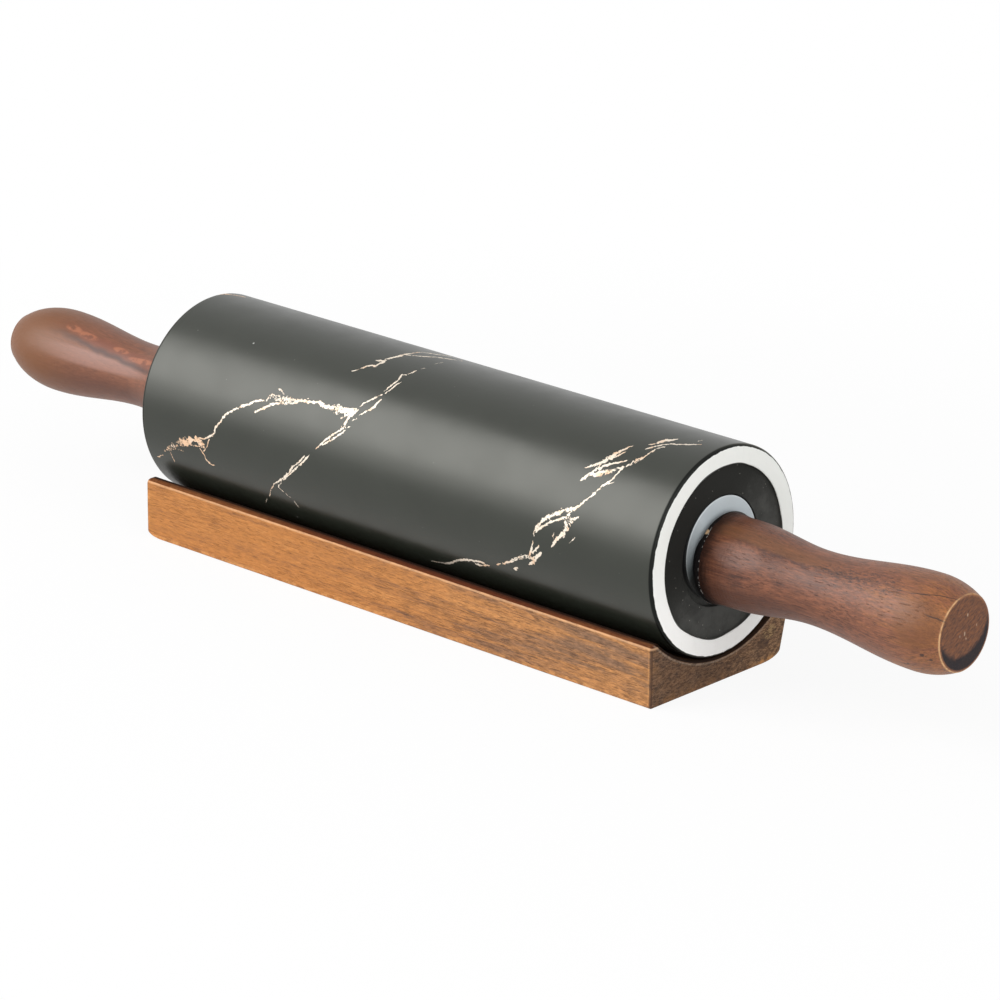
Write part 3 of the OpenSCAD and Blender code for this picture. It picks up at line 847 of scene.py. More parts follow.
def metal_finish(name, tone, pitch, dull):
    """Turned metal with lathe rings, handling marks and a dull film."""
    material, w, shader = new_material(name, Metallic=1.0, Anisotropic=0.3)
    place = w.millimetres()
    turning = w.group(shared("Lathe rings", make_turning), Place=place, Pitch=pitch)
    film = w.noise(place, 0.12, 4.0, 0.6)
    tone_out = w.mix(w.span(film, 0.4, 0.75, 0.0, 0.6), tone, dimmed(tone, dull))
    tone_out = w.mix(w.span(turning["Marks"], 0.55, 0.8, 0.0, 0.3), tone_out, dimmed(tone, 0.5))
    rough = w.plus(w.span(film, 0.3, 0.7, 0.24, 0.4), w.times(turning["Marks"], 0.08))
    height = w.times(turning["Rings"], 0.02)
    plug(w, shader, Base_Color=tone_out, Roughness=rough, Normal=w.bump(height, 0.8))
    return material


def near_marks(w, stain, place, from_base, turn, small):
    """Dark growth line, rows of open pores, two drying cracks, pits by the flat end, painted highlight
    and shade.
    """
    off = w.apart(turn, w.span(small, 0.3, 0.7, 34.0, 42.0))
    grown = w.times(w.fall(off, 0.8, 4.5), w.span(from_base, 88.0, 60.0))
    stain = w.paint(stain, w.times(grown, w.span(from_base, 8.0, 16.0)), 0.55, (0.04, 0.014, 0.009))
    shade = w.times(w.span(turn, 4.0, 24.0), w.span(turn, 40.0, 34.0))
    stain = w.paint(
        stain, w.times(shade, w.span(from_base, 62.0, 34.0)), 0.5, (0.185, 0.076, 0.028))
    pitted = w.grain(place, (0.5, 2.2, 2.2), (3.0, 3.0, 1.0), detail=2.0, rough=0.6)
    pitted = w.times(w.span(pitted, 0.53, 0.6), w.blob(from_base, turn, (63.0, 38.0), (23.0, 17.0)))
    stain = w.paint(stain, pitted, 0.65, (0.022, 0.01, 0.009))
    # Painted highlight: a pale pink patch near the base
    stain = w.paint(
        stain, w.blob(from_base, turn, (15.0, 58.0), (10.0, 18.0)), 0.22, (0.36, 0.21, 0.17))
    # Painted shade along the lower front, towards the base
    painted_shade_below = w.times(w.span(turn, 82.0, 118.0), w.span(from_base, 58.0, 22.0))
    stain = w.paint(stain, painted_shade_below, 0.75, (0.075, 0.024, 0.012))
    # Painted shade on the front of the nose, dimming its highlight
    stain = w.paint(
        stain, w.blob(from_base, turn, (90.0, 72.0), (9.0, 34.0)), 0.65, (0.15, 0.052, 0.014))
    wobble = w.ramp(small, 0.3, 0.7, -0.5, 0.5)
    past = w.minus(from_base, 82.0)
    curve = w.plus(w.times(past, w.calc("MULTIPLY_ADD", past, 0.07, 0.3)), wobble)
    # Turn, bend, half widths inside and outside the soft edge, and where each crack begins
    cracks = ((40.0, curve, (0.3, 1.1), (80.0, 88.0)), (57.5, wobble, (0.4, 1.3), (90.0, 94.0)))
    for at, bend, edge, begins in cracks:
        off = w.absolute(w.plus(w.minus(turn, at), bend))
        crack = w.times(w.fall(off, *edge), w.span(from_base, *begins))
        stain = w.paint(stain, crack, 0.85, (0.02, 0.008, 0.005))
    pits = (((92.4, 109.0), (0.8, 2.6)), ((94.9, 116.5), (0.6, 1.8)), ((86.0, 128.0), (0.5, 1.6)))
    for at, size in pits:
        stain = w.paint(stain, w.blob(from_base, turn, at, size), 0.8, (0.02, 0.009, 0.006))
    return stain


def far_marks(w, stain, place, from_base, turn, small):
    """Reddish streak with worn orange blotches, a darker band in front of it, a painted highlight and
    shade.
    """
    course = w.calc("MULTIPLY_ADD", from_base, -0.36, 55.0)
    course = w.plus(course, w.span(w.noise(place, 0.12, 1.0), 0.3, 0.7, -2.0, 2.0))
    bent = w.minus(turn, course)
    within = w.times(w.span(from_base, 14.0, 26.0), w.fall(from_base, 66.0, 80.0))
    stain = w.paint(
        stain, w.times(w.fall(w.absolute(bent), 3.0, 16.0), within), 0.6, (0.17, 0.046, 0.024))
    # Painted highlight along the middle of the handle
    stain = w.paint(
        stain, w.blob(from_base, turn, (52.0, 67.0), (32.0, 14.0)), 0.35, (0.4, 0.23, 0.19))
    band = w.fall(w.apart(bent, 12.0), 0.0, 8.0)
    stain = w.paint(stain, w.times(band, within), 0.8, (0.045, 0.018, 0.014))
    # Painted shade along the lower front
    stain = w.paint(stain, w.fall(w.apart(turn, 112.0), 4.0, 34.0), 0.6, (0.08, 0.026, 0.014))
    stain = w.paint(stain, w.span(from_base, 50.0, 86.0), 0.88, (0.145, 0.046, 0.006))
    blotches = ((65.5, 29.0, 4.0), (58.0, 32.0, 5.0), (41.0, 35.0, 4.0), (29.0, 44.0, 7.0))
    for along, round_at, size in blotches:
        blotch = w.blob(from_base, turn, (along, round_at), (size, 6.0))
        mark = w.times(blotch, w.span(small, 0.38, 0.56))
        stain = w.paint(stain, mark, 0.6, (0.42, 0.15, 0.07))
    return stain


def flat_end(w, stain, place, spot, reach, from_base, small, end_r):
    """Flat end of this radius with its rim. Returns the stain, the disc and the soot on it."""
    total = (HANDLE_HIGH[0] - HANDLE_LOW[0]) / MM
    # The arris round the flat end is rubbed down to pale wood
    rub = w.times(
        w.fall(w.apart(reach, end_r + 0.1), 0.0, 0.34), w.span(from_base, total - 0.9, total - 0.3),
        w.span(small, 0.3, 0.6, 0.25, 1.0), w.span(spot["Y"], 9.0, 1.0, 0.25, 1.0))
    stain = w.paint(stain, rub, 0.92, (0.74, 0.44, 0.21))

    # Dark end grain on the flat end, with pale specks, stained black at the bottom
    disc = w.fall(reach, end_r - 0.9, end_r - 0.2)
    disc = w.times(w.calc("GREATER_THAN", from_base, total - 0.12), disc)
    cut = w.noise(
        w.stretch(w.stretch(place, (1, 1, 1), turn=(-0.5, 0.0, 0.0)), (1.0, 0.5, 2.2)), 0.8, 4.0, 0.75)
    core = w.mix(w.span(cut, 0.3, 0.72), (0.03, 0.01, 0.006), (0.24, 0.08, 0.022))
    rise = w.minus(spot["Z"], AXLE_Z)
    specks = (
        ((1.2, 5.8), (0.35, 0.6)), ((0.0, -0.2), (0.35, 0.8)), ((-2.4, -0.5), (0.2, 0.4)),
        ((0.8, -2.0), (0.25, 0.4)), ((6.0, 1.2), (0.2, 0.5)))
    for at, size in specks:
        core = w.paint(core, w.blob(spot["Y"], rise, at, size), 0.7, (0.52, 0.38, 0.26))
    # The soot leaves a clear circle that is moved up and to the back
    clear = w.stretch(place, (0, 1, 1), (0.0, 0.08 * end_r, -AXLE_Z - 0.41 * end_r))
    clear = w.vector("LENGTH", clear).outputs["Value"]
    soot = w.span(w.calc("MULTIPLY_ADD", small, 2.4, clear), end_r + 0.4, end_r + 2.2)
    seam = w.times(w.span(reach, end_r - 1.3, end_r - 0.7), w.span(spot["Y"], 2.0, -6.0))
    soot = w.larger(soot, w.times(seam, 0.4))
    core = w.paint(core, soot, 0.95, (0.007, 0.015, 0.023))
    stain = w.paint(stain, disc, 0.92, core)
    return stain, disc, w.times(soot, disc)


def base_lacquer_and_shade(w, stain, place, from_base, turn, small):
    """Black band round the base, widest at the front, of black lacquered wood and painted shade, with a
    broken line of painted glints along it. Returns the stain, the painted shade beside the band, the band
    and the glints."""
    broad = w.span(w.calc("COSINE", w.calc("RADIANS", w.minus(turn, 95.0))), -0.6, 1.0, 0.6, 1.75)
    band = w.minus(from_base, w.plus(broad, w.span(small, 0.3, 0.7, -0.15, 0.15)))
    # Painted shade on the wood beside the band
    shadow = w.fall(band, 0.0, 5.6)
    stain = w.paint(stain, shadow, 0.9, (0.022, 0.008, 0.005))
    # Black band of lacquered wood and painted shade
    lacquer_and_shade = w.fall(band, -0.1, 0.2)
    stain = w.paint(stain, lacquer_and_shade, 0.96, (0.005, 0.004, 0.004))
    # Painted glints: a broken line along the band, and a short arc at the bottom of the base
    front = w.fall(w.apart(turn, 80.0), 35.0, 60.0)
    glint = w.fall(w.absolute(w.plus(band, 0.15)), 0.05, 0.18)
    glint = w.times(glint, w.span(w.noise(place, 0.8), 0.5, 0.58), front)
    glint = w.larger(glint, w.blob(from_base, turn, (0.2, 149.0), (0.5, 13.0)))
    stain = w.paint(stain, glint, 0.75, (0.42, 0.39, 0.36))
    stain = w.paint(stain, w.blob(from_base, turn, (0.7, 41.0), (0.8, 3.6)), 0.9, (0.62, 0.44, 0.27))
    return stain, shadow, lacquer_and_shade, glint


def handle_finish(settings, near):
    """Stained, satin-lacquered wood, worn golden towards the nose and on the rim of the flat end."""
    name = "Near handle wood" if near else "Far handle wood"
    material, w, shader = new_material(
        name, IOR=1.5, Specular_IOR_Level=0.42, Coat_Weight=0.08, Coat_Roughness=0.4, Coat_IOR=1.5)
    place = w.millimetres()
    spot = w.split(place)
    wood = w.group(
        shared("Timber", make_timber),
        Place=w.shifted(place, (0.0, 0.0, 0.0) if near else (60.0, 25.0, 40.0)),
        Ring_spacing=4.2, Wander=7.0, Pith_Y=9.0 if near else -22.0, Pith_Z=20.0,
        Pore_share=0.22 if near else 0.1)
    from_base = w.minus(w.absolute(spot["X"]), HANDLE_LOW[0] / MM)
    reach = w.from_line(spot, AXLE_Z)
    turn = w.degrees_round(spot, AXLE_Z)
    small = w.noise(place, 0.35, 3.0)

    # Streaks of stain, thinner where hands have worn it
    worn = w.span(from_base, 46.0, 97.0)
    streak = w.plus(w.times(wood["Fibres"], 0.45), w.times(wood["Blotches"], 0.55))
    spread = 0.21 if near else 0.4
    tone = w.ramp(streak, 0.5 - spread, 0.5 + spread, 0.0, 0.8)
    tone = w.plus(tone, w.times(worn, 0.3 if near else 0.1))
    tone = w.minus(tone, w.times(wood["Rings"], 0.16 if near else 0.08), clamp=True)
    stain = w.mix(w.span(tone, 0.0, 0.45), settings.dark, settings.middle)
    stain = w.mix(w.span(tone, 0.42, 1.0), stain, settings.light)
    fine = w.grain(place, (0.24, 1.5, 1.5), (5.0, 2.0, 8.0), detail=3.0, rough=0.75)
    fine = w.ramp(fine, 0.3, 0.7, 0.5 if near else 0.7, 1.42 if near else 1.25)
    stain = w.scaled(stain, fine)
    stain = w.paint(stain, wood["Pores"], 0.5 if near else 0.3, (0.02, 0.009, 0.007))

    marks = near_marks if near else far_marks
    stain = marks(w, stain, place, from_base, turn, small)

    stain, disc, soot = flat_end(w, stain, place, spot, reach, from_base, small, 12.6 if near else 9.2)
    stain, shadow, lacquer_and_shade, glint = base_lacquer_and_shade(w, stain, place, from_base, turn, small)

    rough = w.plus(w.span(wood["Fibres"], 0.2, 0.8, 0.42, 0.52), w.times(wood["Pores"], 0.2))
    rough = w.between(disc, rough, 0.62)
    rough = w.between(lacquer_and_shade, rough, 0.85)
    height = w.times(wood["Fibres"], 0.09 if near else 0.03)
    height = w.minus(height, w.times(wood["Pores"], 0.1 if near else 0.03))
    # Cross-grain chatter from the turning tool
    ripple = w.calc("MULTIPLY_ADD", w.noise(place, 0.5), 6.0, w.times(spot["X"], 4.4))
    patch = w.times(w.span(w.noise(place, 0.09), 0.4, 0.55), w.fall(from_base, 3.0, 34.0))
    height = w.plus(height, w.times(w.calc("SINE", ripple), patch, 0.02))
    height = w.plus(height, w.times(w.noise(place, 0.2), 0.12))
    # Metal with a dark colour reflects little: on the black band, the painted shade and the sooty disc,
    # not the glints
    metal = w.times(w.minus(w.larger(lacquer_and_shade, soot, shadow), glint, clamp=True), 0.8)
    plug(w, shader, Base_Color=stain, Roughness=rough, Metallic=metal, Normal=w.bump(height))
    return material


def end_grain(w, place, spot):
    """Dark mottled end grain with a knot's smear at the back. Returns its colour and mottle."""
    mottle = w.noise(w.stretch(place, (1.0, 0.6, 1.7), turn=(0.25, 0.0, 0.0)), 0.95, 5.0, 0.8)
    lively = w.span(spot["Y"], -20.0, 26.0, 0.0, 0.14)
    grain = w.mix(w.span(mottle, 0.36, 0.66), (0.026, 0.016, 0.011), (0.2, 0.112, 0.064))
    grain = w.scaled(grain, w.span(spot["Y"], -6.0, 20.0, 1.05, 1.6))
    grain = w.mix(w.span(w.plus(mottle, lively), 0.62, 0.74, 0.0, 0.6), grain, (0.4, 0.24, 0.12))
    astray = w.calc("MULTIPLY_ADD", mottle, 5.0, spot["Y"])
    pale = w.times(w.blob(astray, spot["Z"], (27.5, 10.8), (3.6, 2.6)), w.span(mottle, 0.46, 0.58))
    grain = w.paint(grain, pale, 0.7, (0.42, 0.3, 0.14))
    grain = w.paint(
        grain, w.blob(astray, spot["Z"], (24.8, 7.2), (2.8, 2.0)), 0.7, (0.03, 0.018, 0.019))
    return grain, mottle


def cradle_finish(settings):
    """Oiled golden-brown wood with fine dashes, dark streaks and rubbed edges."""
    material, w, shader = new_material("Cradle wood", IOR=1.46, Specular_IOR_Level=0.3)
    place = w.millimetres()
    spot = w.split(place)
    wood = w.group(
        shared("Timber", make_timber), Place=place, Ring_spacing=6.5, Wander=10.0, Pith_Y=-14.0,
        Pith_Z=-38.0, Pore_share=0.34)
    right = w.span(spot["X"], -50.0, 110.0)
    fleck = w.grain(place, (0.3, 2.2, 2.2), (11.0, 2.0, 6.0), detail=3.0, rough=0.7)
    tone = w.plus(w.times(fleck, 0.55), w.times(wood["Blotches"], 0.35), w.times(wood["Fibres"], 0.3))
    band = w.grain(place, (0.014, 0.12, 0.2), (3.0, 0.0, 4.0), detail=3.0, rough=0.6, bend=0.5)
    streak = w.times(w.span(band, 0.4, 0.62), w.calc("MULTIPLY_ADD", right, 0.75, 0.15))
    tone = w.minus(tone, w.times(wood["Rings"], 0.1))
    tone = w.minus(tone, w.times(streak, 0.42))
    stain = w.mix(w.span(tone, 0.16, 0.56), settings.dark, settings.middle)
    stain = w.mix(w.span(tone, 0.56, 0.92), stain, settings.light)
    stain = w.paint(stain, streak, 0.45, (0.17, 0.088, 0.058))
    stain = w.paint(stain, right, 0.36, (0.36, 0.205, 0.098))
    lines = w.grain(place, (0.03, 0.55, 0.75), (1.0, 6.0, 2.0), detail=4.0, rough=0.65, bend=0.8)
    lines = w.times(w.span(lines, 0.54, 0.64), w.calc("MULTIPLY_ADD", right, 0.5, 0.05))
    stain = w.mix(lines, stain, (0.15, 0.078, 0.045))
    fine = w.grain(place, (0.36, 1.5, 1.5), (2.0, 7.0, 3.0), detail=3.0, rough=0.75)
    fine = w.times(w.ramp(fine, 0.3, 0.7, -0.5, 0.5), w.calc("MULTIPLY_ADD", right, 0.5, 0.34))
    stain = w.scaled(stain, w.plus(fine, 1.0))
    open_pores = w.times(wood["Pores"], w.calc("MULTIPLY_ADD", right, 0.45, 0.12))
    stain = w.mix(open_pores, stain, (0.09, 0.04, 0.024))

    ends = w.attribute("end_grain", "Fac")
    grain, mottle = end_grain(w, place, spot)
    stain = w.paint(stain, ends, 0.9, grain)

    # Rubbed arrises, chipped pale at the near end's back, with a dark line on the front one
    edge = w.attribute("edge", "Fac")
    chip = w.span(w.noise(place, 0.28, 4.0, 0.65), 0.42, 0.62)
    toe = w.times(w.span(spot["Y"], 14.0, 24.0), w.span(spot["Z"], 7.0, 4.0))
    toe = w.larger(toe, w.span(spot["Y"], 30.5, 33.0))
    chip = w.times(chip, w.between(w.times(toe, ends), w.between(ends, 0.5, 0.15), 1.0))
    stain = w.mix(w.times(w.span(edge, 0.45, 0.9), chip), stain, settings.light)
    corner = w.times(w.span(spot["X"], 117.2, 117.9), w.span(spot["Y"], -33.6, -34.1))
    stain = w.paint(stain, corner, 0.75, (0.035, 0.017, 0.012))

    # Painted highlight under each rim, and dull painted shade on the rims and in the trough under the
    # barrel
    # Painted highlight: a pale line on the arris just under each rim
    line = w.times(w.span(spot["Z"], 20.1, 20.7, 0.0, 0.5), w.span(spot["Z"], 21.3, 21.0))
    stain = w.mix(line, stain, (0.8, 0.47, 0.26))
    # Painted shade on the rims' lands, darkest towards the middle
    rim = w.span(spot["Z"], 21.0, 21.3)
    middle = w.span(w.apart(spot["X"], 20.0), 30.0, 115.0, 0.96, 0.78)
    stain = w.mix(w.times(rim, middle), stain, (0.075, 0.012, 0.001))
    trough, floor = in_mm(settings, "trough", "floor")
    reach = w.from_line(spot, floor + trough)
    lip = w.times(w.span(reach, trough + 1.0, trough + 1.2), w.span(reach, trough + 2.0, trough + 1.4))
    lip = w.times(lip, ends, w.span(mottle, 0.35, 0.6, 0.1, 0.45))
    stain = w.mix(lip, stain, (0.42, 0.33, 0.25))
    # Painted shade in the trough and along its edge on the end faces
    inside = w.span(reach, trough + 1.1, trough + 0.75)
    stain = w.mix(w.times(inside, w.between(ends, 0.88, 0.97)), stain, (0.012, 0.005, 0.003))

    rough = w.plus(w.span(wood["Fibres"], 0.2, 0.8, 0.5, 0.62), w.times(wood["Pores"], 0.15))
    rough = w.between(rim, w.between(ends, rough, 0.75), 1.0)
    # Metal with a dark colour reflects little, in the painted shade of the trough
    dull = w.times(inside, w.between(ends, 0.6, 0.9))
    height = w.minus(w.times(wood["Fibres"], 0.07), w.times(wood["Pores"], 0.12))
    height = w.plus(height, w.times(mottle, ends, 0.18))
    plug(w, shader, Base_Color=stain, Roughness=rough, Metallic=dull, Normal=w.bump(height))
    return material


# Pieces


def smooth_line(points, cuts=4):
    """Points on a smooth curve through the given ones."""
    knots = np.vstack((2 * points[0] - points[1], points, 2 * points[-1] - points[-2]))
    line = []
    for index in range(1, len(knots) - 2):
        p0, p1, p2, p3 = knots[index - 1:index + 3]
        for step in range(cuts):
            t = step / cuts
            line.append(0.5 * (2 * p1 + (p2 - p0) * t + (2 * p0 - 5 * p1 + 4 * p2 - p3) * t * t
                               + (3 * p1 - p0 - 3 * p2 + p3) * t ** 3))
    line.append(points[-1])
    return np.array(line)


# How the spots on the wall find their strand, in millimetres: a spot farther away than REACH has
# none, and only spots within FRAME of a vein's bounds are looked at. A strand's width shrinks
# past its ends by TAPER per millimetre, and by twice the distance farther than SKIRT from its side.
# NO_SIDE and NO_WIDTH mark a spot without a strand.
REACH = 4.2
FRAME = 4.5
TAPER = 0.55
SKIRT = 0.9
NO_SIDE = 9.0
NO_WIDTH = -1.0


def vein_fields(x, turn, radius):
    """For each spot on the barrel's wall and each channel: the distance to the side of the
    nearest strand, and that strand's half width there. Millimetres and degrees."""
    side = np.full((len(x), 3), NO_SIDE)
    width = np.full((len(x), 3), NO_WIDTH)
    near = np.full((len(x), 3), REACH)
    per_degree = math.radians(1) * radius
    half_turn = 180 * per_degree
    for channel, widths, *points in VEINS:
        line = smooth_line(np.array(points, dtype=float))
        line[:, 1] *= per_degree
        middle = line[:, 1].mean()
        up = (turn * per_degree - middle + half_turn) % (2 * half_turn) - half_turn + middle
        low, high = line.min(axis=0) - FRAME, line.max(axis=0) + FRAME
        spots = np.flatnonzero((x > low[0]) & (x < high[0]) & (up > low[1]) & (up < high[1]))
        here = np.column_stack((x[spots], up[spots]))
        steps = np.linalg.norm(np.diff(line, axis=0), axis=1)
        marks = np.concatenate(([0], np.cumsum(steps)))
        for index, (start, stop, step) in enumerate(zip(line[:-1], line[1:], steps)):
            heading = (stop - start) / step
            offset = here - start
            along = offset @ heading
            across = offset[:, 0] * heading[1] - offset[:, 1] * heading[0]
            held = np.clip(along, 0, step)
            reach = np.hypot(across, along - held)
            over = np.zeros(len(along))
            if index == 0:
                over = np.maximum(over, -along)
            if index == len(steps) - 1:
                over = np.maximum(over, along - step)
            share = (marks[index] + held) / marks[-1]
            thick = np.interp(share, (0, 0.5, 1), widths) - TAPER * over
            thick -= 2 * np.maximum(0, reach - np.maximum(thick, 0) - SKIRT)
            value = np.where(over > 0, across, np.copysign(reach, across))
            better = reach < near[spots, channel]
            chosen = spots[better]
            near[chosen, channel] = reach[better]
            side[chosen, channel] = value[better]
            width[chosen, channel] = thick[better]
    return side, np.maximum(width, NO_WIDTH)


class PIN_OT_barrel(bpy.types.Operator):
    """Build the glazed barrel with its foot rings, its hollow and its veins"""
    bl_idname = "rolling_pin.barrel"
    bl_label = "Barrel"

    def execute(self, context):
        s = context.scene.pin_barrel
        radius, half, wall, edge_round, ring_width, recess = in_mm(
            s, "radius", "half_length", "wall", "edge_round", "ring_width", "recess")
        end_wall, hole, pocket, pocket_depth = in_mm(
            s, "end_wall", "bush_hole", "pocket", "pocket_depth")
        face, ring_inner = half - recess, radius - edge_round - ring_width
        hollow, hollow_r = face - end_wall, radius - wall
        bottom = face - pocket_depth
        # Each corner has its distance from the middle, its radius and its rounding
        near_end = [
            (half, radius, edge_round), (half, ring_inner, 0.45), (face, ring_inner, 1.1),
            (face, pocket, 0.25), (bottom, pocket, 0.2), (bottom, hole, 0.3), (hollow, hole, 0.3)]
        far_end = [(-x, r, rounding) for x, r, rounding in reversed(near_end)]
        # The outline starts in the hollow, so the join of the unrolled strip is out of sight
        corners = [(-hollow, hollow_r, 5.0), *far_end, *near_end, (hollow, hollow_r, 5.0)]
        outline = rounded(corners, 5)

        # The wall gets most of the unrolled square, the hollow next to nothing
        lengths = np.cumsum([0.0] + [math.dist(a, b) for a, b in zip(outline, outline[1:])])
        xs, rs = np.array(outline).T
        wall_at = np.flatnonzero(rs > radius - TINY)
        hole_at = np.flatnonzero((np.abs(np.abs(xs) - hollow) < 0.5) & (rs < hole + 0.4))
        total = lengths[-1] + math.dist(outline[-1], outline[0])
        strips = [
            (0.0, 0.0), (lengths[hole_at[0]], 0.008), (lengths[wall_at[0]], 0.110),
            (lengths[wall_at[-1]], 0.880), (lengths[hole_at[-1]], 0.985), (total, 1.0)]
        piece = turned(
            "barrel_glazed", outline, AXIS_Z, steps=context.scene.pin_studio.steps, longest=0.95,
            strips=strips, fine_from=radius - 0.01)

        spots = places(piece)
        turn = np.degrees(np.arctan2(-spots[:, 1], spots[:, 2] - AXIS_Z))
        on_wall = np.hypot(spots[:, 1], spots[:, 2] - AXIS_Z) > radius - 0.9
        side = np.full((len(spots), 3), NO_SIDE)
        width = np.full((len(spots), 3), NO_WIDTH)
        side[on_wall], width[on_wall] = vein_fields(spots[on_wall, 0], turn[on_wall], radius)
        keep(piece, "vein_side", "FLOAT_VECTOR", side)
        keep(piece, "vein_width", "FLOAT_VECTOR", width)
        carried(piece, "barrel", ["barrel_shell"], glaze_finish(s))
        return {"FINISHED"}


class PIN_OT_bushes(bpy.types.Operator):
    """Build the two flanged plastic bushes in the barrel's ends"""
    bl_idname = "rolling_pin.bushes"
    bl_label = "Bushes"

    def execute(self, context):
        s = context.scene.pin_bushes
        material = plastic_finish(s)
        face, back = BUSH_HIGH[0] / MM, BUSH_LOW[0] / MM
        flange, sleeve, bore, thickness = in_mm(s, "flange", "sleeve", "bore", "flange_thickness")
        under = face - thickness
        near_end = [
            (back, bore, 0.5), (back, sleeve, 0.8), (under, sleeve, 0.2), (under, flange, 0.2),
            (face, flange, 0.3), (face, bore, 0.6)]
        for end, sign in (("near", 1), ("far", -1)):
            corners = [(sign * x, r, rounding) for x, r, rounding in near_end]
            piece = turned(f"{end}_bush_moulded", rounded(corners, 5), AXIS_Z, steps=96, longest=1.5)
            # The flange sits a little above the middle of its sleeve
            for vert in piece.data.vertices:
                if math.hypot(vert.co.y, vert.co.z - AXIS_Z * MM) > (sleeve + 0.5) * MM:
                    vert.co.z += (FLANGE_Z - AXIS_Z) * MM
            carried(piece, "barrel", [f"{end}_bush"], material)
        return {"FINISHED"}


def eased(x, x0, x1, r0, r1):
    """Radius that goes from r0 to r1 along a cosine."""
    return r0 + (r1 - r0) * (1 - math.cos(math.pi * (x - x0) / (x1 - x0))) / 2


class PIN_OT_handles(bpy.types.Operator):
    """Build the two turned wooden handles"""
    bl_idname = "rolling_pin.handles"
    bl_label = "Handles"

    def outline(self, s, end):
        """Half section from the bore's bottom to the base, and on to the flat end."""
        base, shoulder, total = in_mm(s, "base", "shoulder", "length")
        neck, neck_at, belly, belly_at, nose = in_mm(
            s, *(f"{end}_{part}" for part in ("neck", "neck_at", "belly", "belly_at", "nose")))
        base_round, flare, land, tip_round = 0.6, 6.0, 10.0, 0.8
        bore_depth, bore_r, seat_depth, seat_r = 27.0, 6.55, 1.5, 8.55
        stop = total - tip_round

        def radius(x):
            if x < land:
                return shoulder + (base - shoulder) * max(0.0, 1 - x / flare) ** 2
            if x < neck_at:
                return eased(x, land, neck_at, shoulder, neck)
            if x < belly_at:
                return eased(x, neck_at, belly_at, neck, belly)
            return belly * math.sqrt(1 - ((x - belly_at) / nose) ** 2)

        bore = [
            (bore_depth, 0.0), (bore_depth, bore_r), (seat_depth, bore_r), (seat_depth, seat_r),
            (0.0, seat_r)]
        foot_r = radius(base_round) - base_round
        foot = [
            (base_round - base_round * math.cos(a), foot_r + base_round * math.sin(a))
            for a in quarter(15)]
        body = [(x, radius(x)) for x in (1.2, 2.0, 2.8, 3.6, 4.4, 5.2, *np.linspace(6.0, stop, 100))]
        end_r = radius(stop) - tip_round
        tip = [
            (stop + tip_round * math.sin(a), end_r + tip_round * math.cos(a)) for a in quarter(15)[1:]]
        return bore, foot + body + tip + [(total, end_r / 2), (total, 0.0)]

    def execute(self, context):
        s = context.scene.pin_handles
        base_x = HANDLE_LOW[0] / MM
        for end, sign in (("near", 1), ("far", -1)):
            bore, skin = self.outline(s, end)
            outline = [(sign * (base_x + x), r) for x, r in bore + skin]
            hidden = path_length(bore)
            # The bore gets a narrow strip of the unrolled square
            piece = turned(
                f"{end}_handle_turned", outline, AXLE_Z, steps=128, longest=1.6, closed=False,
                strips=[(0.0, 0.0), (hidden, 0.03), (path_length(outline), 1.0)])
            carried(
                piece, "handles", [f"{end}_handle"], handle_finish(s, end == "near"))
        return {"FINISHED"}


def cradle_outline(s, half_y, high):
    """Outline across the pin, with the front to the left and a worn toe at the back."""
    trough, ease, rim, floor = in_mm(s, "trough", "ease", "rim", "floor")
    lean, lean_z, lean_round, toe_w, toe_h = 3.3, 17.0, 2.0, 9.0, 3.2
    foot, inner_y = half_y - lean, half_y - rim
    toe = [
        (foot - toe_w + toe_w * math.sin(a), toe_h - toe_h * math.cos(a), 0.0) for a in quarter(10)]
    sweep = math.asin(inner_y / trough)
    arc = [
        (trough * math.sin(a), floor + trough - trough * math.cos(a), 0.0)
        for a in np.linspace(sweep, -sweep, 33)[1:-1]]
    corners = [
        (-half_y, 0.0, ease), *toe, (half_y, lean_z, lean_round), (half_y, high, ease),
        (inner_y, high, 0.0), *arc, (-inner_y, high, 0.0), (-half_y, high, ease)]
    return rounded(corners, 4)


def cradle_block(outline, half_x, ease):
    """Block with this outline from end to end, with eased ends, cut finely enough to be worn."""
    cell = 2.6
    mesh = bmesh.new()
    rim = [mesh.verts.new((-half_x, y, z)) for y, z in outline]
    for edge in [mesh.edges.new(pair) for pair in zip(rim, rim[1:] + rim[:1])]:
        cuts = int(edge.calc_length() / cell)
        if cuts:
            bmesh.ops.subdivide_edges(mesh, edges=[edge], cuts=cuts)
    bmesh.ops.contextual_create(mesh, geom=mesh.edges[:])
    moved = bmesh.ops.extrude_face_region(
        mesh, geom=mesh.faces[:] + mesh.edges[:] + mesh.verts[:], use_keep_orig=True)["geom"]
    bmesh.ops.translate(
        mesh, verts=[v for v in moved if isinstance(v, bmesh.types.BMVert)], vec=(2 * half_x, 0, 0))
    bmesh.ops.recalc_face_normals(mesh, faces=mesh.faces)
    ends = [
        edge for edge in mesh.edges
        if all(abs(vert.co.x) > half_x - 0.01 for vert in edge.verts) and edge.calc_length() < half_x]
    bmesh.ops.bevel(
        mesh, geom=ends, offset=ease, offset_type="OFFSET", segments=4, profile=0.5, affect="EDGES",
        material=-1, clamp_overlap=True)
    stations = [-half_x + x for x in (1.4, 2.0, 2.8, 3.8, 5.0, 6.5)]
    stations += list(np.arange(-half_x + 9.0, half_x - 1.5, cell))
    for x in stations:
        bmesh.ops.bisect_plane(
            mesh, geom=mesh.verts[:] + mesh.edges[:] + mesh.faces[:], dist=0.0001, plane_co=(x, 0, 0),
            plane_no=(1, 0, 0))
    return mesh


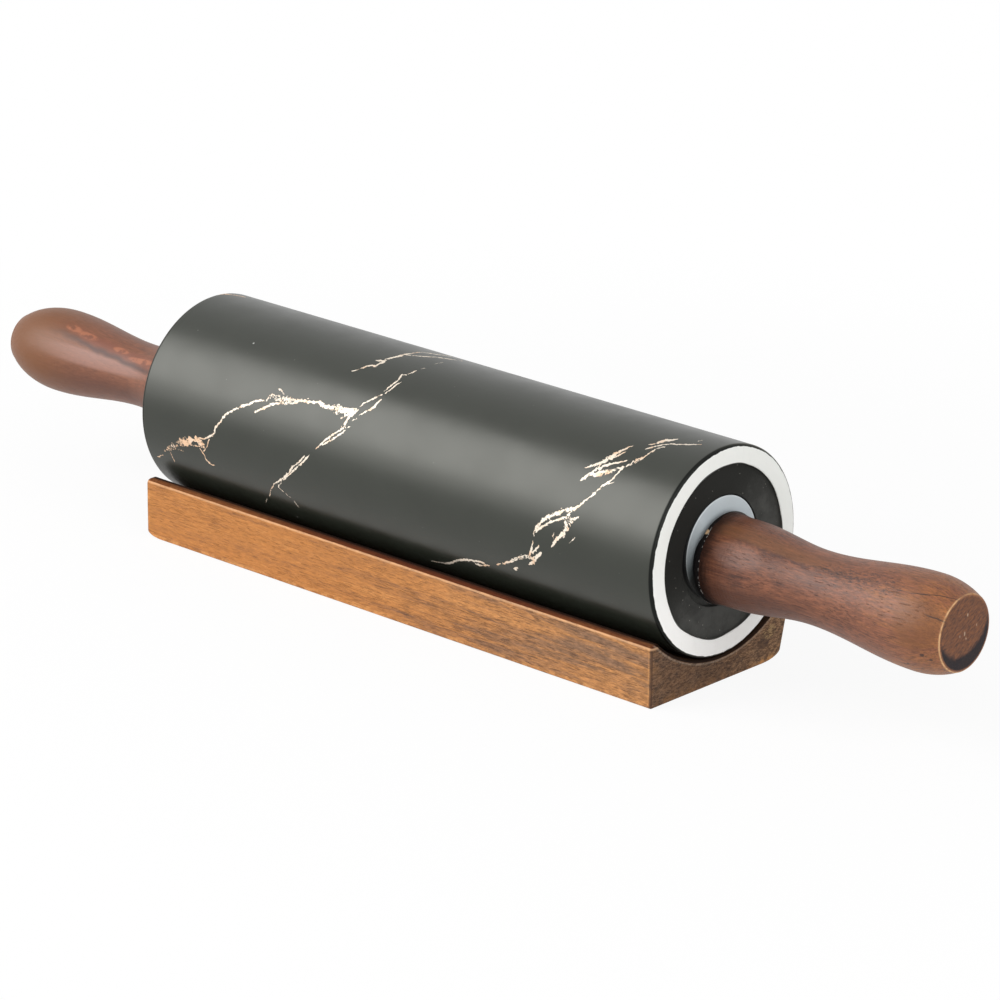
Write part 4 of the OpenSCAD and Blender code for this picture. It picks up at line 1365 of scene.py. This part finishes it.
def dip(from_end, width, depth):
    """Depth of an elliptic round at this distance from an end."""
    share = 1 - min(1.0, from_end / width)
    return depth * (1 - math.sqrt(max(0.0, 1 - share ** 2)))


class PIN_OT_cradle(bpy.types.Operator):
    """Build the wooden cradle with its trough and its worn far end"""
    bl_idname = "rolling_pin.cradle"
    bl_label = "Cradle"

    def execute(self, context):
        s = context.scene.pin_cradle
        half_x, half_y, high = (value / MM for value in CRADLE_HIGH)
        ease, rim = in_mm(s, "ease", "rim")
        mesh = cradle_block(cradle_outline(s, half_y, high), half_x, ease)

        # The far end's bottom and top corners are worn, and the whole block is a little uneven
        wear_w, wear_h, wear_to = 6.5, 2.5, 9.0
        top_w, top_h, top_from, top_over = 1.8, 3.0, 13.0, 9.0
        uneven, rim_from, side_from = 0.12, 20.0, 34.0
        for vert in mesh.verts:
            x, y, z = vert.co
            from_end = x + half_x
            z += dip(from_end, wear_w, wear_h) * max(0.0, 1 - z / wear_to)
            z -= dip(from_end, top_w, top_h) * max(0.0, (z - top_from) / top_over)
            rub = uneven * (0.5 + 0.5 * noise.noise(Vector((x * 0.035, y * 0.08, z * 0.12))))
            vert.co.z = z - (rub if z > rim_from else 0.0)
            vert.co.y = y - math.copysign(rub, y) * min(1.0, abs(y) / side_from)
        bmesh.ops.recalc_face_normals(mesh, faces=mesh.faces)
        bmesh.ops.scale(mesh, verts=mesh.verts, vec=(MM, MM, MM))
        piece = finished("cradle_block", mesh)

        # Where end grain shows, and how near each spot is to an edge
        spots = places(piece)
        ends = half_x - np.abs(spots[:, 0])
        top = np.abs(spots[:, 2] - high)
        outer = half_y - np.abs(spots[:, 1])
        inner = np.abs(np.abs(spots[:, 1]) - (half_y - rim))
        low = np.abs(spots[:, 2])
        pairs = ((top, outer), (top, inner), (ends, top), (ends, outer), (ends, low), (low, outer))
        nearest = np.min([np.hypot(*pair) for pair in pairs], axis=0)
        keep(piece, "end_grain", "FLOAT", np.clip(1 - ends / 0.7, 0, 1))
        keep(piece, "edge", "FLOAT", np.clip(1.3 - nearest / 2.2, 0, 1))
        carried(piece, "cradle", ["cradle"], cradle_finish(s))
        return {"FINISHED"}


def repaint(node, material):
    """Gives a solid that stays in view its finish."""
    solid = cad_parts[node]
    if solid.material_slots:
        for holder in solid.material_slots:
            holder.material = material
    else:
        solid.data.materials.append(material)


class PIN_OT_steel(bpy.types.Operator):
    """Finish the steel axle and its two washers"""
    bl_idname = "rolling_pin.steel"
    bl_label = "Axle and washers"

    def execute(self, context):
        material = metal_finish("Turned steel", context.scene.pin_metal.steel, 0.5, 0.7)
        for node in ("axle_rod", "near_washer", "far_washer"):
            repaint(node, material)
        return {"FINISHED"}


class PIN_OT_brass(bpy.types.Operator):
    """Finish the brass inserts in the handles"""
    bl_idname = "rolling_pin.brass"
    bl_label = "Inserts"

    def execute(self, context):
        material = metal_finish("Turned brass", context.scene.pin_metal.brass, 0.35, 0.6)
        for node in ("near_insert", "far_insert"):
            repaint(node, material)
        return {"FINISHED"}


# The lights point at this height, in metres
PIN_MIDDLE = 0.04
WHITE = (1.0, 1.0, 1.0, 1.0)


class PIN_OT_studio(bpy.types.Operator):
    """Set up the camera, the floor, the soft lights and the white surroundings"""
    bl_idname = "rolling_pin.studio"
    bl_label = "Studio"

    def camera(self, scene, s):
        turn, lift = s.azimuth, s.elevation
        back = Vector((math.sin(turn) * math.cos(lift), -math.cos(turn) * math.cos(lift), math.sin(lift)))
        right = Vector((math.cos(turn), math.sin(turn), 0.0))
        up = back.cross(right)
        side = right * math.cos(s.roll) + up * math.sin(s.roll)
        over = up * math.cos(s.roll) - right * math.sin(s.roll)
        data = bpy.data.cameras.new("Studio camera")
        data.sensor_width = 36.0
        data.lens = s.lens
        data.clip_end = 20.0
        camera = placed("Studio camera", data)
        facing = Matrix((side, over, back)).transposed().to_4x4()
        camera.matrix_world = Matrix.Translation(Vector(s.aim) + back * s.distance) @ facing
        scene.camera = camera

    def white_to_eye(self, tree, lit, socket, share, mirrored):
        """Shader that is lit for diffuse light, and partly plain white for the camera and for mirrors."""
        w = Wiring(tree)
        rays = w.put("ShaderNodeLightPath").outputs
        amount = w.times(w.larger(rays["Is Camera Ray"], rays["Is Transmission Ray"]), share)
        amount = w.calc("MULTIPLY_ADD", rays["Is Glossy Ray"], mirrored, amount)
        white = w.put("ShaderNodeEmission", {0: WHITE, 1: 1.0}).outputs[0]
        mixed = w.put("ShaderNodeMixShader", {0: amount, 1: lit, 2: white}).outputs[0]
        tree.links.new(mixed, socket)

    def softbox(self, name, heading, distance, shift, size, radiance):
        """Rectangular light turned to the pin from a heading, and shifted in its own plane."""
        data = bpy.data.lights.new(name, "AREA")
        data.shape = "RECTANGLE"
        data.size, data.size_y = size
        data.energy = radiance * math.pi * size[0] * size[1]
        light = placed(name, data)
        heading = Vector(heading).normalized()
        facing = heading.to_track_quat("Z", "Y")
        middle = Vector((0.0, 0.0, PIN_MIDDLE))
        light.location = heading * distance + facing @ Vector((*shift, 0.0)) + middle
        light.rotation_euler = facing.to_euler()

    def execute(self, context):
        scene = context.scene
        s = scene.pin_studio
        self.camera(scene, s)
        scene.view_settings.view_transform = "Standard"

        mesh = bmesh.new()
        bmesh.ops.create_grid(mesh, x_segments=8, y_segments=8, size=4.0)
        data = bpy.data.meshes.new("Floor")
        mesh.to_mesh(data)
        mesh.free()
        floor = placed("Floor", data)
        material = bpy.data.materials.new("White floor")
        material.use_nodes = True
        tree = material.node_tree
        tree.nodes.clear()
        w = Wiring(tree)
        lit = w.put("ShaderNodeBsdfDiffuse", {"Color": (0.9, 0.9, 0.9, 1.0)}).outputs[0]
        out = w.put("ShaderNodeOutputMaterial")
        distance = w.vector("LENGTH", w.put("ShaderNodeTexCoord").outputs["Object"]).outputs["Value"]
        share = w.span(distance, 0.2, 0.45, 0.91, 1.0)
        self.white_to_eye(tree, lit, out.inputs[0], share, w.span(distance, 0.35, 1.6, 0.55, 1.0))
        floor.data.materials.append(material)

        world = bpy.data.worlds.new("White surroundings")
        scene.world = world
        world.use_nodes = True
        tree = world.node_tree
        tree.nodes.clear()
        w = Wiring(tree)
        soft = w.put("ShaderNodeBackground", {0: WHITE, 1: s.sky}).outputs[0]
        out = w.put("ShaderNodeOutputWorld")
        self.white_to_eye(tree, soft, out.inputs[0], 1.0, 1.0)

        key = (-0.61, -0.62, 0.49)
        self.softbox("Key light", key, 1.9, (0.12, 0.14), (1.60, 1.36), s.key)
        self.softbox("Low key light", key, 1.91, (0.16, -0.12), (1.70, 1.84), s.low_key)
        self.softbox("Fill light", (0.86, -0.36, 0.38), 1.6, (0.0, 0.0), (2.0, 2.0), s.fill)
        return {"FINISHED"}


class VIEW3D_PT_rolling_pin(bpy.types.Panel):
    """Sidebar panel with the pieces and their settings"""
    bl_label = "Rolling pin"
    bl_space_type = "VIEW_3D"
    bl_region_type = "UI"
    bl_category = "Rolling pin"

    def draw(self, context):
        layout = self.layout
        for operator in OPERATORS:
            layout.operator(operator.bl_idname)
        for name, group in SETTINGS.items():
            box = layout.box()
            box.label(text=name.replace("pin_", "").capitalize())
            for field in group.__annotations__:
                box.prop(getattr(context.scene, name), field)


OPERATORS = (
    PIN_OT_studio, PIN_OT_cradle, PIN_OT_barrel, PIN_OT_bushes, PIN_OT_steel, PIN_OT_brass,
    PIN_OT_handles)
SETTINGS = {
    "pin_studio": StudioSettings,
    "pin_cradle": CradleSettings,
    "pin_barrel": BarrelSettings,
    "pin_bushes": BushSettings,
    "pin_metal": MetalSettings,
    "pin_handles": HandleSettings,
}


def register():
    for group in (*SETTINGS.values(), *OPERATORS, VIEW3D_PT_rolling_pin):
        bpy.utils.register_class(group)
    for name, group in SETTINGS.items():
        setattr(bpy.types.Scene, name, PointerProperty(type=group))


def unregister():
    for name in SETTINGS:
        delattr(bpy.types.Scene, name)
    for group in (VIEW3D_PT_rolling_pin, *OPERATORS, *SETTINGS.values()):
        bpy.utils.unregister_class(group)


def main():
    register()
    for operator in OPERATORS:
        getattr(bpy.ops.rolling_pin, operator.bl_idname.split(".")[1])()


if __name__ == "__main__":
    main()
